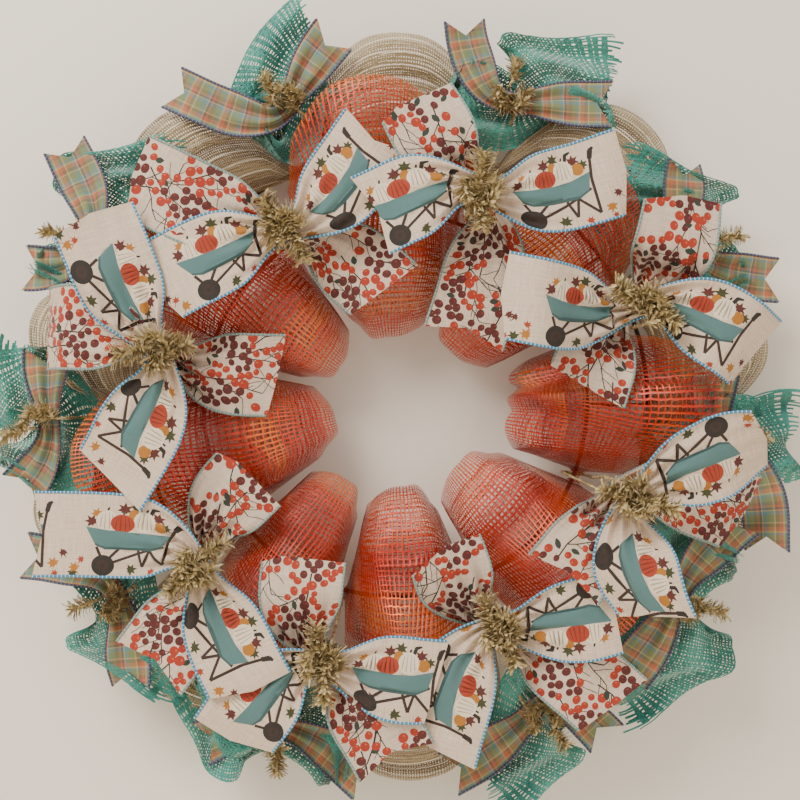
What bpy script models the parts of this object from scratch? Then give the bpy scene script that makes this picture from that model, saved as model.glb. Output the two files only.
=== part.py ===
"""A harvest door wreath: coloured mesh and ribbon strips tied to a welded wire form.

Run it with  blender --background --python part.py  or from Blender's text editor.

The wreath hangs in the XZ plane with its front towards -Y. The origin is where a door hook bears: under the
top of the outer ring. Places on the wreath are given in polar form: a radius from the wreath's centre, an
angle in degrees from +X towards +Z, and a depth, which is the distance in front of the rings' plane.

Everything soft is laid in the order in which it is tied: the tan mesh, the burlap and plaid strips on it, the
orange mesh, then the berry and cart ribbons. Each strip rests on what is already there, so a changed size moves
whatever lies over it.
"""

import math

import bmesh
import bpy
import numpy as np
from mathutils import Vector

# ---- Driving sizes, in metres ----
OUTER_RING_R = 0.212
RING_SPACING = 0.051
INNER_RING_R = OUTER_RING_R - RING_SPACING
RING_WIRE_R = 0.0019
RUNG_WIRE_R = 0.0015
LAY_GAP = 0.0016  # between a strip and what it is laid on
STRIP_T = 0.0012  # thickness of a strip's plain solid

INNER_TIE_DEG = (122, 68, 22, -21, -65, -106, -141, 167)
OUTER_TIE_DEG = (110, 69, 28, -6.6, -34, -65, -109.5, -146, -177, 152)
BOW_OUT = (-0.005, 0.011, 0.037, 0.028, 0.024, 0.040, 0.029, 0.022)  # from the inner ring to each bow's pinch
BOW_ORDER = (0, 1, 2, 4, 5, 6, 7, 3)  # the order in which the bows are tied
BUNCH_OUT = (0.040, 0.046, 0.056, 0.063, 0.056, 0.056, 0.061, 0.056, 0.060, 0.058)  # and from the outer ring

OUTER_NECK_D = 0.013  # depth of the gathered mesh on each ring
INNER_NECK_D = 0.013
ORANGE_MID_D = 0.050  # least depth of the middle of an orange lobe
OUTER_WAIST_D = 0.0258  # how far forward a tie's legs run before they close over the strips
INNER_WAIST_D = 0.052
OUTER_TUFT = 0.035  # length of a tie's free ends
INNER_TUFT = 0.050
LEG_CLEAR = 0.0140  # from the pinch to each leg of its tie
LEG_SPREAD = 0.0025  # half the least distance between a tie's two legs, along the ring
OVER_SPREAD = 0.0045  # and half the distance between its two ends where they turn outwards
OUTWARD_TURN_DEG = 17  # how far an outer tie's ends turn apart
ACROSS_TURN_DEG = 25  # how far an inner tie's ends turn from the line through its legs
NECK_R = 0.008  # half width of gathered mesh inside a tie
NECK_SHARE = 0.058  # share of a lobe's angle that stays gathered at each end
TAN_MID_OUT = 0.049  # from the outer ring to the middle of a tan lobe
TAN_HALF_OUT = 0.050
TAN_HALF_D = 0.020
TAN_MID_D = 0.025
ORANGE_HALF_OUT = 0.095
ORANGE_HALF_D = 0.032
LOBE_FULLNESS = 0.55  # power of the sine that swells a lobe between its ties
INNER_FULLNESS = 0.38  # and of the one for its reach towards the centre
TAN_LEAN = (0.25, 0.30)  # how much a lobe's inner and outer halves slope forwards
ORANGE_LEAN = (0.20, 0.42)
# from the inner ring to each lobe's inner edge, from the lobe at 45 degrees on
ORANGE_INWARDS = (0.107, 0.109, 0.109, 0.116, 0.089, 0.104, 0.094, 0.076)

TIE_LEG_R = 0.0021  # a tie where it is twisted tight
TIE_TUFT_R = 0.0075  # a tie's free, fluffed end
WAIST_W = 0.015  # a strip's width where it is pinched
# from the pinch to where each kind of strip is at full width, as a multiple of that width
PRINT_OPENING = 0.7874
BURLAP_OPENING = 0.500
PLAID_OPENING = 1.3889

PRINT_RIBBON_W = 0.0635
BURLAP_W = 0.100
KEEP_OUT = 0.010  # no strip on the outer ring comes nearer the centre than this beyond the ring
PLAID_RIBBON_W = 0.036

CENTRE_Z = -(OUTER_RING_R - RING_WIRE_R)


def polar(radius, degrees, depth=0.0):
    """The point at that radius, angle and depth."""
    a = math.radians(degrees)
    return Vector((radius * math.cos(a), -depth, CENTRE_Z + radius * math.sin(a)))


def plan(radius, degrees):
    """The same place seen from the front: (across, up) from the wreath's centre."""
    a = math.radians(degrees)
    return np.array([radius * math.cos(a), radius * math.sin(a)])


def in_space(place, depth):
    return Vector((place[0], -depth, CENTRE_Z + place[1]))


# ---- Materials ----


def material(name, colour, roughness, metallic=0.0):
    made = bpy.data.materials.new(name)
    made.use_nodes = True
    shader = made.node_tree.nodes["Principled BSDF"]
    shader.inputs["Base Color"].default_value = (*colour, 1.0)
    shader.inputs["Roughness"].default_value = roughness
    shader.inputs["Metallic"].default_value = metallic
    return made


def add_object(name, mesh, finish):
    mesh.materials.append(finish)
    made = bpy.data.objects.new(name, mesh)
    bpy.context.scene.collection.objects.link(made)
    return made


# ---- Solids from rings of points ----


def skin(name, rings, finish, closed=False, smooth=True):
    """A solid whose surface runs through rings of points, capped at both ends unless it closes on itself."""
    bm = bmesh.new()
    loops = [[bm.verts.new(p) for p in ring] for ring in rings]
    pairs = list(zip(loops, loops[1:]))
    if closed:
        pairs.append((loops[-1], loops[0]))
    count = len(loops[0])
    for low, high in pairs:
        for i in range(count):
            j = (i + 1) % count
            bm.faces.new((low[i], low[j], high[j], high[i]))
    if not closed:
        bm.faces.new(loops[0][::-1])
        bm.faces.new(loops[-1])
    bmesh.ops.triangulate(bm, faces=bm.faces[:])
    bmesh.ops.recalc_face_normals(bm, faces=bm.faces[:])
    mesh = bpy.data.meshes.new(name)
    bm.to_mesh(mesh)
    bm.free()
    if smooth:
        mesh.shade_smooth()
        mesh.set_sharp_from_angle(angle=math.radians(50))
    return add_object(name, mesh, finish)


def round_bar(name, points, radii, sides, finish):
    """A bar of round section along a line, with its section kept from twisting."""
    rings = []
    along = [
        (points[min(i + 1, len(points) - 1)] - points[max(i - 1, 0)]).normalized()
        for i in range(len(points))
    ]
    side = along[0].orthogonal().normalized()
    for point, way, radius in zip(points, along, radii):
        side = (side - way * side.dot(way)).normalized()
        up = way.cross(side)
        turns = (math.tau * k / sides for k in range(sides))
        rings.append([point + radius * (math.cos(t) * side + math.sin(t) * up) for t in turns])
    return skin(name, rings, finish)


# ---- The welded wire form ----


def make_wire_form(finish, segments=48, sides=6, rungs=10):
    """Two steel rings joined by short rungs that are welded on, so the form is one piece."""
    pieces = []
    for name, ring_r in (("outer_ring", OUTER_RING_R), ("inner_ring", INNER_RING_R)):
        rings = []
        for k in range(segments):
            deg = 360.0 * k / segments
            turns = (math.tau * (i + 0.5) / sides for i in range(sides))
            rings.append(
                [polar(ring_r + RING_WIRE_R * math.cos(t), deg, RING_WIRE_R * math.sin(t)) for t in turns]
            )
        pieces.append(skin(name, rings, finish, closed=True))
    for k in range(rungs):
        deg = 360.0 * k / rungs
        ends = [polar(INNER_RING_R, deg), polar(OUTER_RING_R, deg)]
        pieces.append(round_bar(f"rung_{k}", ends, [RUNG_WIRE_R] * 2, sides, finish))
    form = pieces[0]
    form.name = "wire_form"
    for other in pieces[1:]:
        weld = form.modifiers.new("weld", "BOOLEAN")
        weld.operation = "UNION"
        weld.object = other
        other.hide_render = True
        other.display_type = "WIRE"
    return form


# ---- Mesh billows ----


class Billows:
    """A length of mesh gathered at each tie of one ring, and swelling into a lobe between each two ties.

    Seen across the ring a lobe is an oval, centred mid_r from the wreath's centre and mid_d in front of the
    rings. It reaches half_out outwards and half_d each way in depth, and inwards to its own radius in reach_in.
    lean_in and lean_out are how much its inner and outer halves slope forwards as the radius grows.
    """

    def __init__(self, tie_deg, neck, middle, half_out, half_d, reach_in, lean_in, lean_out):
        self.ties = sorted(d % 360 for d in tie_deg)
        self.neck, self.mid = neck, middle
        self.half_out, self.half_d, self.reach_in = half_out, half_d, reach_in
        self.lean = (lean_in, lean_out)

    def swelling(self, degrees):
        """The lobe at that angle, and 0 where it is gathered in a tie to 1 at its fullest place."""
        d = degrees % 360
        ends = [*self.ties, self.ties[0] + 360]
        if d < self.ties[0]:
            d += 360
        lobe = max(k for k in range(len(self.ties)) if ends[k] <= d)
        u = ((d - ends[lobe]) / (ends[lobe + 1] - ends[lobe]) - NECK_SHARE) / (1 - 2 * NECK_SHARE)
        return lobe, math.sin(math.pi * min(max(u, 0.0), 1.0)) if 0 < u < 1 else 0.0

    def oval(self, degrees):
        """(centre radius, centre depth, reach inwards, reach outwards, half depth, how swollen the lobe is)"""
        lobe, sine = self.swelling(degrees)
        f = sine**LOBE_FULLNESS
        r, d = (low + (high - low) * f for low, high in zip(self.neck, self.mid))
        inwards = NECK_R + (self.mid[0] - self.reach_in[lobe] - NECK_R) * sine**INNER_FULLNESS
        outwards = NECK_R + (self.half_out - NECK_R) * f
        return r, d, inwards, outwards, NECK_R + (self.half_d - NECK_R) * f, f

    def slope(self, offset, f):
        return f * offset * (self.lean[1] if offset > 0 else self.lean[0])

    def section(self, degrees, sides):
        r, d, inwards, outwards, half_d, f = self.oval(degrees)
        ring = []
        for i in range(sides):
            t = math.tau * (i + 0.5) / sides
            offset = math.cos(t) * (outwards if math.cos(t) > 0 else inwards)
            ring.append(polar(r + offset, degrees, d + self.slope(offset, f) + half_d * math.sin(t)))
        return ring

    def depths(self, place):
        """The depths of the mesh's back and front at a place in plan, and how swollen the lobe is there."""
        degrees = math.degrees(math.atan2(place[1], place[0]))
        r, d, inwards, outwards, half_d, f = self.oval(degrees)
        offset = math.hypot(*place) - r
        share = offset / (outwards if offset > 0 else inwards)
        if abs(share) >= 1:
            return 0.0, 0.0, 0.0
        half = half_d * math.sqrt(1 - share * share)
        middle = d + self.slope(offset, f)
        return middle - half, middle + half, f

    def stations(self, per_lobe):
        """The angles of the sections: close together by each tie, where the mesh opens out quickly."""
        ends = [*self.ties, self.ties[0] + 360]
        for low, high in zip(ends, ends[1:]):
            for k in range(per_lobe + 1):
                u = k / per_lobe
                eased = u - 0.13 * math.sin(math.tau * u)
                yield low + (high - low) * (NECK_SHARE + (1 - 2 * NECK_SHARE) * eased)

    def make(self, name, finish, per_lobe=7, sides=12):
        rings = [self.section(d, sides) for d in self.stations(per_lobe)]
        return skin(name, rings, finish, closed=True)


# ---- What is laid on what ----


class Heap:
    """How deep the wreath is so far, on a grid over its front, so that the next strip can rest on it."""

    CELL = 0.003
    REACH = 0.46

    def __init__(self):
        count = int(2 * self.REACH / self.CELL)
        self.top = np.zeros((count, count))
        at = (np.arange(count) + 0.5) * self.CELL - self.REACH
        self.across, self.up = np.meshgrid(at, at, indexing="ij")

    def window(self, places, margin):
        low = ((np.min(places, 0) - margin + self.REACH) / self.CELL).astype(int)
        high = ((np.max(places, 0) + margin + self.REACH) / self.CELL).astype(int) + 1
        return slice(max(low[0], 0), high[0]), slice(max(low[1], 0), high[1])

    def lift_under(self, billows):
        """How much further forward the billows' lobes have to be to clear everything laid so far."""
        lift = 0.0
        for index in np.argwhere(self.top > 0):
            place = (self.across[tuple(index)], self.up[tuple(index)])
            back, _, share = billows.depths(place)
            if share > 0.5:
                lift = max(lift, (self.top[tuple(index)] + LAY_GAP - back) / share)
        return lift

    def add_billows(self, billows):
        for index in np.ndindex(self.top.shape):
            place = (self.across[index], self.up[index])
            self.top[index] = max(self.top[index], billows.depths(place)[1])

    def cells_near(self, start, end, reach):
        """The cells within reach of the line from start to end, and how far along it each one is."""
        window = self.window([start, end], reach + self.CELL)
        way = end - start
        to_x, to_y = self.across[window] - start[0], self.up[window] - start[1]
        share = np.clip((to_x * way[0] + to_y * way[1]) / max(way @ way, 1e-12), 0, 1)
        away = np.hypot(to_x - share * way[0], to_y - share * way[1])
        return window, away < reach, share

    def top_under(self, start, end, reach):
        window, near, _ = self.cells_near(start, end, reach + 0.7 * self.CELL)
        return float(self.top[window][near].max(initial=0.0))

    def add_length(self, start, end, depths, reach):
        window, near, share = self.cells_near(start, end, reach + 0.7 * self.CELL)
        depth = depths[0] + (depths[1] - depths[0]) * share
        part = self.top[window]
        part[near] = np.maximum(part[near], depth[near])


def over_all(along, needed):
    """The tightest line over a row of needed depths, as a strip pulled over bumps would run."""
    kept = []
    for point in zip(along, needed):
        while len(kept) > 1:
            (x0, y0), (x1, y1) = kept[-2:]
            if (y1 - y0) * (point[0] - x0) > (point[1] - y0) * (x1 - x0):
                break
            kept.pop()
        kept.append(point)
    return np.interp(along, *zip(*kept))


def bend(start, way, end, count):
    """Points in plan from start, leaving it along way, to end."""
    control = start + way
    t = np.linspace(0, 1, count)[:, None]
    return (1 - t) ** 2 * start + 2 * t * (1 - t) * control + t**2 * end


def unit(vector):
    return vector / max(np.linalg.norm(vector), 1e-9)


def unit_at(degrees):
    return plan(1.0, degrees)


class Strip:
    """A strip pinched at its middle, with two tails. Each tail is (degrees, length, roll): the way it runs in
    plan, how far its tip is from the pinch, and how far it is turned on edge there, in degrees."""

    STEPS = 6
    SOFT_START = 0.026  # how far the strip runs on through the pinch before it turns to its tip

    def __init__(self, name, pinch, width, opening, tails, keep_out=0.0):
        self.name, self.pinch, self.width, self.keep_out = name, pinch, width, keep_out
        self.opening = width * opening
        self.tails = [self.kept_outside(*tail) for tail in tails]
        ways = [unit_at(t[0]) for t in tails]
        self.through = unit(ways[1] - ways[0])

    def kept_outside(self, degrees, length, roll, fold=1.0):
        """The tail, shortened where needed so that no corner comes nearer the centre than keep_out."""
        way = unit_at(degrees)
        side = np.array([-way[1], way[0]]) * fold * self.width / 2 * math.cos(math.radians(roll))
        for share in np.arange(1.0, 0.4, -0.05):
            tip = self.pinch + way * length * share
            wide = min(1.0, length * share / self.opening) ** 1.5
            if min(np.linalg.norm(tip + side * wide), np.linalg.norm(tip - side * wide)) > self.keep_out:
                break
        return degrees, length * share, roll, fold

    def tail_line(self, index):
        degrees, length = self.tails[index][:2]
        way = self.through * self.SOFT_START * (1 if index else -1)
        return bend(self.pinch, way, self.pinch + length * unit_at(degrees), self.STEPS + 1)

    def lay(self, heap, least):
        """Rests both tails on the heap, and returns the strip's middle line with its widths and rolls."""
        lines = []
        for index in (0, 1):
            line = self.tail_line(index)
            along = np.concatenate([[0], np.cumsum(np.linalg.norm(np.diff(line, axis=0), axis=1))])
            share = np.clip(along / self.opening, 0, 1)
            full = self.width * self.tails[index][3]
            width = WAIST_W + (full - WAIST_W) * share * share * (3 - 2 * share)
            roll = np.radians(self.tails[index][2]) * (along / along[-1]) ** 1.5
            flat, deep = width / 2 * np.cos(roll), width / 2 * np.abs(np.sin(roll))
            under = []
            for i in range(len(line)):
                a, b = line[max(i - 1, 0)], line[min(i + 1, len(line) - 1)]
                under.append(heap.top_under(a, b, max(flat[i], 0.003)))
            needed = np.maximum(np.array(under) + LAY_GAP, least) + STRIP_T / 2 + deep
            lines.append([line, along, width, roll, flat, deep, needed])
        start = max(item[6][0] for item in lines)
        for item in lines:
            item[6][0] = start
            item[6] = over_all(item[1], item[6])
        for line, _, _, _, flat, deep, depth in lines:
            tops = depth + deep + STRIP_T / 2
            for i in range(len(line) - 1):
                heap.add_length(line[i], line[i + 1], (tops[i], tops[i + 1]), max(flat[i], flat[i + 1]))
        return lines

    def make(self, heap, finish, least):
        tails = self.lay(heap, least)
        stations = []
        for index, way in ((0, -1), (1, 1)):
            line, _, width, roll, _, _, depth = tails[index]
            ways = np.gradient(line, axis=0) * way
            found = list(zip(line, ways, width, roll * way, depth))
            stations.append(found[::-1] if index == 0 else found[1:])
        rings = []
        for place, way, width, roll, depth in stations[0] + stations[1]:
            way = unit(way)
            across = np.array([-way[1], way[0]]) * math.cos(roll)
            side = Vector((across[0], -math.sin(roll), across[1])) * width / 2
            out = side.cross(Vector((way[0], 0, way[1]))).normalized() * STRIP_T / 2
            middle = in_space(place, depth)
            rings.append([middle + side + out, middle - side + out, middle - side - out, middle + side - out])
        return skin(self.name, rings, finish, smooth=False)


def make_tie(name, ring_r, neck_d, degrees, pinch, legs_way, heap, finish, length, waist_d, outward):
    """A chaff-covered stem bent round the ring and the gathered mesh, its two ends folded over the strips.

    The two legs stay on their own sides of the line from the wreath's centre through the tie, so they never
    meet. With outward set, both ends point out of the wreath; otherwise each crosses the strips.
    """
    out = unit_at(degrees)
    beside = np.array([-out[1], out[0]])
    legs_way = legs_way if legs_way @ beside >= 0 else -legs_way
    side_way = np.array([-legs_way[1], legs_way[0]])
    side_way = side_way if side_way @ beside >= 0 else -side_way
    foot_gap = NECK_R + TIE_LEG_R + 0.0012
    ring_at = plan(ring_r, degrees)
    halves = []
    for sign in (1, -1):
        foot = ring_at + (out * foot_gap + beside * LEG_SPREAD) * sign
        spread = LEG_SPREAD * max(0.0, 1 - 3 * (legs_way @ beside))
        knee = pinch + (legs_way * LEG_CLEAR + beside * spread) * sign
        if outward:
            over = pinch + beside * OVER_SPREAD * sign + out * max(0.0, (knee - pinch) @ out + 0.006)
            way = unit_at(degrees + OUTWARD_TURN_DEG * sign)
        else:
            over = pinch + side_way * (TIE_LEG_R + 0.0012) * sign
            turn = math.radians(ACROSS_TURN_DEG)
            way = (side_way * math.sin(turn) - legs_way * math.cos(turn)) * sign
        path = [over + way * length * t for t in (0.2, 0.45, 0.72, 1.0)]
        radii = [TIE_LEG_R + (TIE_TUFT_R - TIE_LEG_R) * t for t in (0.35, 1.0, 1.0, 0.6)]
        depths = []
        at, reach = over, TIE_LEG_R
        rest = heap.top_under(over + (knee - over) * 0.6, over, reach) + reach + LAY_GAP
        for place, radius in zip(path, radii):
            depths.append(heap.top_under(at, place, max(reach, radius)) + radius + LAY_GAP)
            at, reach = place, radius
        depths = over_all(range(len(depths) + 1), [rest, *depths])
        halves.append((foot, knee, over, path, radii, rest, depths))
    rest = max(h[5] for h in halves)
    low = RING_WIRE_R + TIE_LEG_R + 0.0008
    lines = []
    for foot, knee, over, path, radii, _, depths in halves:
        line = [(foot, -0.001), (foot, neck_d + NECK_R + TIE_LEG_R + 0.003)]
        line += [(knee, waist_d), (knee, rest), (over + (knee - over) * 0.45, rest + 0.003)]
        thick = [TIE_LEG_R] * 5
        line += list(zip([over, *path], [max(d, rest + 0.003) for d in depths]))
        thick += [TIE_LEG_R, *radii]
        lines.append((line, thick))
        for (a, da), (b, db), ra in zip(line[5:], line[6:], thick[6:]):
            heap.add_length(a, b, (da + ra, db + ra), ra)
    behind = [(ring_at + (foot - ring_at) * 0.55, -low) for foot in (halves[0][0], halves[1][0])]
    whole = lines[0][0][::-1] + behind + lines[1][0]
    thick = lines[0][1][::-1] + [TIE_LEG_R] * 2 + lines[1][1]
    return round_bar(name, [in_space(p, d) for p, d in whole], thick, 5, finish)


# ---- The strips' places: (degrees, length, roll) for each tail ----

CART_TAILS = (
    ((203, 0.105, 0), (46, 0.104, 0)),
    ((193, 0.085, 0), (9, 0.111, 0)),
    ((176, 0.106, 0), (-22, 0.102, 0)),
    ((23, 0.108, 45), (-80, 0.093, 45)),
    ((8, 0.088, 15), (244, 0.111, 0)),
    ((221, 0.092, 0), (-9, 0.095, 0)),
    ((170, 0.128, 0), (-66, 0.103, 0)),
    ((114, 0.111, 25), (249, 0.111, 0)),
)
BERRY_TAILS = (
    ((160, 0.123, 0), (-31, 0.093, 0)),
    ((125, 0.085, 15), (264, 0.109, 0)),
    ((68, 0.089, 15), (240, 0.078, 0)),
    ((230, 0.080, 0), (-10, 0.099, 0)),
    ((124, 0.073, 25), (-35, 0.114, 0)),
    ((100, 0.078, 0), (-53, 0.095, 0)),
    ((60, 0.075, 0), (244, 0.088, 0)),
    ((169, 0.095, 0), (-11, 0.095, 0)),
)
BURLAP_TAILS = (
    ((112, 0.044, 0), (-120, 0.048, 0, 0.5)),
    ((46, 0.058, 0), (165, 0.051, 0, 0.6)),
    ((100, 0.053, 0), (-60, 0.048, 0, 0.6)),
    ((150, 0.048, 0, 0.75), (30, 0.031, 0, 0.6)),
    ((62, 0.056, 0, 0.65), (-88, 0.075, 0)),
    ((64, 0.038, 0, 0.5), (-92, 0.056, 0, 0.8)),
    ((176, 0.061, 0, 0.8), (-10, 0.060, 0, 0.75)),
    ((116, 0.051, 0, 0.8), (-84, 0.053, 0)),
    ((140, 0.044, 0, 0.8), (-108, 0.051, 0, 0.8)),
    ((74, 0.071, 0), (-122, 0.044, 0, 0.7)),
)
PLAID_TAILS = (
    ((169, 0.095, 0), (58, 0.071, 25)),
    ((120, 0.075, 30), (0, 0.082, 0)),
    ((95, 0.068, 30), (-20, 0.076, 0)),
    ((-75, 0.088, 30), (105, 0.060, 0)),
    ((50, 0.082, 0), (-120, 0.076, 20)),
    ((-22, 0.060, 20), (216, 0.088, 20)),
    ((-32, 0.083, 0), (192, 0.066, 0)),
    ((157, 0.080, 20), (-81, 0.075, 20)),
    ((246, 0.058, 0), (95, 0.060, 30)),
    ((107, 0.082, 30), (200, 0.056, 0)),
)


def clear_scene():
    for old in list(bpy.data.objects):
        bpy.data.objects.remove(old, do_unlink=True)


def run_together(under, over):
    """Makes two strips of one tie run the same way through it. Returns the way across them, towards its legs."""
    turned = 1 if under.through @ over.through >= 0 else -1
    shared = unit(under.through * under.width + over.through * over.width * turned)
    under.through, over.through = shared, shared * turned
    return np.array([-shared[1], shared[0]])


def main():
    clear_scene()
    steel = material("painted_wire", (0.16, 0.10, 0.06), 0.45, 0.6)
    tan = material("jute_mesh", (0.55, 0.42, 0.27), 0.8)
    orange = material("orange_mesh", (0.80, 0.17, 0.04), 0.45)
    teal = material("teal_burlap", (0.10, 0.42, 0.37), 0.85)
    plaid = material("plaid_ribbon", (0.62, 0.38, 0.18), 0.75)
    linen = material("cart_print_ribbon", (0.76, 0.66, 0.54), 0.7)
    berry = material("berry_print_ribbon", (0.70, 0.45, 0.36), 0.7)
    chaff = material("raffia_chaff", (0.55, 0.45, 0.25), 0.8)

    make_wire_form(steel)
    tan_reach = [OUTER_RING_R + TAN_MID_OUT - TAN_HALF_OUT] * len(OUTER_TIE_DEG)
    tan_billows = Billows(
        OUTER_TIE_DEG, (OUTER_RING_R, OUTER_NECK_D), (OUTER_RING_R + TAN_MID_OUT, TAN_MID_D),
        TAN_HALF_OUT, TAN_HALF_D, tan_reach, *TAN_LEAN,
    )
    tan_billows.make("tan_mesh", tan)
    heap = Heap()
    heap.add_billows(tan_billows)
    keep_out = OUTER_RING_R + KEEP_OUT
    for k, degrees in enumerate(OUTER_TIE_DEG):
        pinch = plan(OUTER_RING_R + BUNCH_OUT[k], degrees)
        number = k + 1
        burlap = Strip(
            f"burlap_strip_{number}", pinch, BURLAP_W, BURLAP_OPENING, BURLAP_TAILS[k], keep_out
        )
        plaid_strip = Strip(
            f"plaid_ribbon_{number}", pinch, PLAID_RIBBON_W, PLAID_OPENING, PLAID_TAILS[k], keep_out
        )
        across = run_together(burlap, plaid_strip)
        burlap.make(heap, teal, OUTER_WAIST_D + 0.005)
        plaid_strip.make(heap, plaid, OUTER_WAIST_D + 0.005)
        make_tie(
            f"outer_tie_{number}", OUTER_RING_R, OUTER_NECK_D, degrees, pinch, across, heap, chaff,
            OUTER_TUFT, OUTER_WAIST_D + 0.0036, outward=True,
        )

    orange_reach = [INNER_RING_R - inwards for inwards in ORANGE_INWARDS]
    orange_billows = Billows(
        INNER_TIE_DEG, (INNER_RING_R, INNER_NECK_D), (INNER_RING_R, ORANGE_MID_D),
        ORANGE_HALF_OUT, ORANGE_HALF_D, orange_reach, *ORANGE_LEAN,
    )
    lift = heap.lift_under(orange_billows)
    orange_billows.mid = (INNER_RING_R, ORANGE_MID_D + lift)
    orange_billows.make("orange_mesh", orange)
    heap.add_billows(orange_billows)
    for k in BOW_ORDER:
        degrees = INNER_TIE_DEG[k]
        pinch = plan(INNER_RING_R + BOW_OUT[k], degrees)
        number = k + 1
        berries = Strip(f"berry_ribbon_{number}", pinch, PRINT_RIBBON_W, PRINT_OPENING, BERRY_TAILS[k])
        carts = Strip(f"cart_ribbon_{number}", pinch, PRINT_RIBBON_W, PRINT_OPENING, CART_TAILS[k])
        across = run_together(berries, carts)
        berries.make(heap, berry, INNER_WAIST_D + 0.004)
        carts.make(heap, linen, INNER_WAIST_D + 0.004)
        make_tie(
            f"inner_tie_{number}", INNER_RING_R, INNER_NECK_D, degrees, pinch, across, heap, chaff,
            INNER_TUFT, INNER_WAIST_D, outward=False,
        )


main()
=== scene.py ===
# %% [markdown]
# # A harvest door wreath
#
# The wreath is a wire form dressed in layers: tan mesh round the outer ring, burlap and plaid strips tied
# over it, orange mesh round the inner ring, and printed ribbon bows on top, each held by a straw-covered tie.
# The plain solids of the wreath are loaded first and stay fixed. Every cloth piece below is then laid where
# its solid is, so the looks can change without the sizes changing.

import math
import random

import bpy
import numpy as np
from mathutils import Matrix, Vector
from mathutils.geometry import delaunay_2d_cdt


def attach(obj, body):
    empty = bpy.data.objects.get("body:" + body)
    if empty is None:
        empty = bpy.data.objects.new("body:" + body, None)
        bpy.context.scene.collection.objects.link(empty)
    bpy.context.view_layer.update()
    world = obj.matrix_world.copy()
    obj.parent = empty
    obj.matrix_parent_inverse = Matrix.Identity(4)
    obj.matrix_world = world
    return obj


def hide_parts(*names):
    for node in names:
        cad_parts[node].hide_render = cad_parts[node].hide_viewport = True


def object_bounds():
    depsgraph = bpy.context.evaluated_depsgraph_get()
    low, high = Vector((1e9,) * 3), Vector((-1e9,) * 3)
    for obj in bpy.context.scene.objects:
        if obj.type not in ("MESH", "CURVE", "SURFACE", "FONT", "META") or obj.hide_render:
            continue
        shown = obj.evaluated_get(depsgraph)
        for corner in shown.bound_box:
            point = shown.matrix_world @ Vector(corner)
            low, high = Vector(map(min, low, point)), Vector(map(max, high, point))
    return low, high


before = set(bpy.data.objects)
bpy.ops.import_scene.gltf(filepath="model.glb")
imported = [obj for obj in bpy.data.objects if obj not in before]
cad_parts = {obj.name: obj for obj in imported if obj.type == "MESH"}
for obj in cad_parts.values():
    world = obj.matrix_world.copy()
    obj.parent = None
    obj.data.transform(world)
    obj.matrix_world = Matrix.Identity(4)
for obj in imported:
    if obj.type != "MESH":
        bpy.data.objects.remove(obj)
CAD_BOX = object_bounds()
print("solids:", len(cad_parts), "box:", [round(v, 3) for corner in CAD_BOX for v in corner])

RING_R = 0.212  # the outer ring, whose wire's underside at the top is the origin
CENTRE = Vector((0.0, 0.0, -(RING_R - 0.0019)))

# %% [markdown]
# ## Helpers for materials
#
# Colours are picked as sRGB hex values, as a painter would from a chart, and Blender's shaders want linear
# numbers, so one function converts them. Node trees get long when each node takes four lines, so one helper
# adds a node, sets its values and links its inputs at once.


# %% Colour and node helpers
def linear(hex_colour, alpha=1.0):
    """An sRGB hex colour as linear RGBA."""
    parts = [int(hex_colour[i : i + 2], 16) / 255 for i in (1, 3, 5)]
    return (*[c / 12.92 if c <= 0.04045 else ((c + 0.055) / 1.055) ** 2.4 for c in parts], alpha)


def add(tree, kind, links=None, values=None, **settings):
    """One node: settings are its properties, values its unlinked inputs, links the sockets that feed it."""
    node = tree.nodes.new(kind)
    for key, value in settings.items():
        setattr(node, key, value)
    for key, value in (values or {}).items():
        node.inputs[key].default_value = value
    for key, socket in (links or {}).items():
        tree.links.new(socket, node.inputs[key])
    return node


def blank_material(name):
    """A material with only its output, and its tree."""
    made = bpy.data.materials.new(name)
    made.use_nodes = True
    made.node_tree.nodes.clear()
    return made, made.node_tree


def shaded_material(name):
    """A material with one Principled shader on its output, its tree, and that shader."""
    made, tree = blank_material(name)
    shader = tree.nodes.new("ShaderNodeBsdfPrincipled")
    end = tree.nodes.new("ShaderNodeOutputMaterial")
    tree.links.new(shader.outputs[0], end.inputs["Surface"])
    return made, tree, shader


def maths(tree, operation, a, b=0.0, c=None):
    """A Math node's result. Each operand is a socket or a number."""
    node = tree.nodes.new("ShaderNodeMath")
    node.operation = operation
    for index, operand in enumerate((a, b, c)):
        if operand is None:
            continue
        if isinstance(operand, (int, float)):
            node.inputs[index].default_value = operand
        else:
            tree.links.new(operand, node.inputs[index])
    return node.outputs[0]


def mixed(tree, factor, a, b, blend="MIX"):
    """A colour mix. The factor is a socket or a number, and each of a and b is a socket or a hex colour."""
    node = tree.nodes.new("ShaderNodeMix")
    node.data_type = "RGBA"
    node.blend_type = blend
    for index, operand in ((0, factor), (6, a), (7, b)):
        if isinstance(operand, str):
            node.inputs[index].default_value = linear(operand)
        elif isinstance(operand, (int, float)):
            node.inputs[index].default_value = operand
        else:
            tree.links.new(operand, node.inputs[index])
    return node.outputs[2]


# %% [markdown]
# ## Light, floor and camera
#
# The wreath hangs flat, so it is seen straight on from a little over a metre. A large soft panel above and to
# the left gives the gentle shading of daylight in a room, and a weaker one on the right fills the folds. The
# pale panel behind it is see-through from the back, so that the wreath's back can be looked at too.


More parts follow.
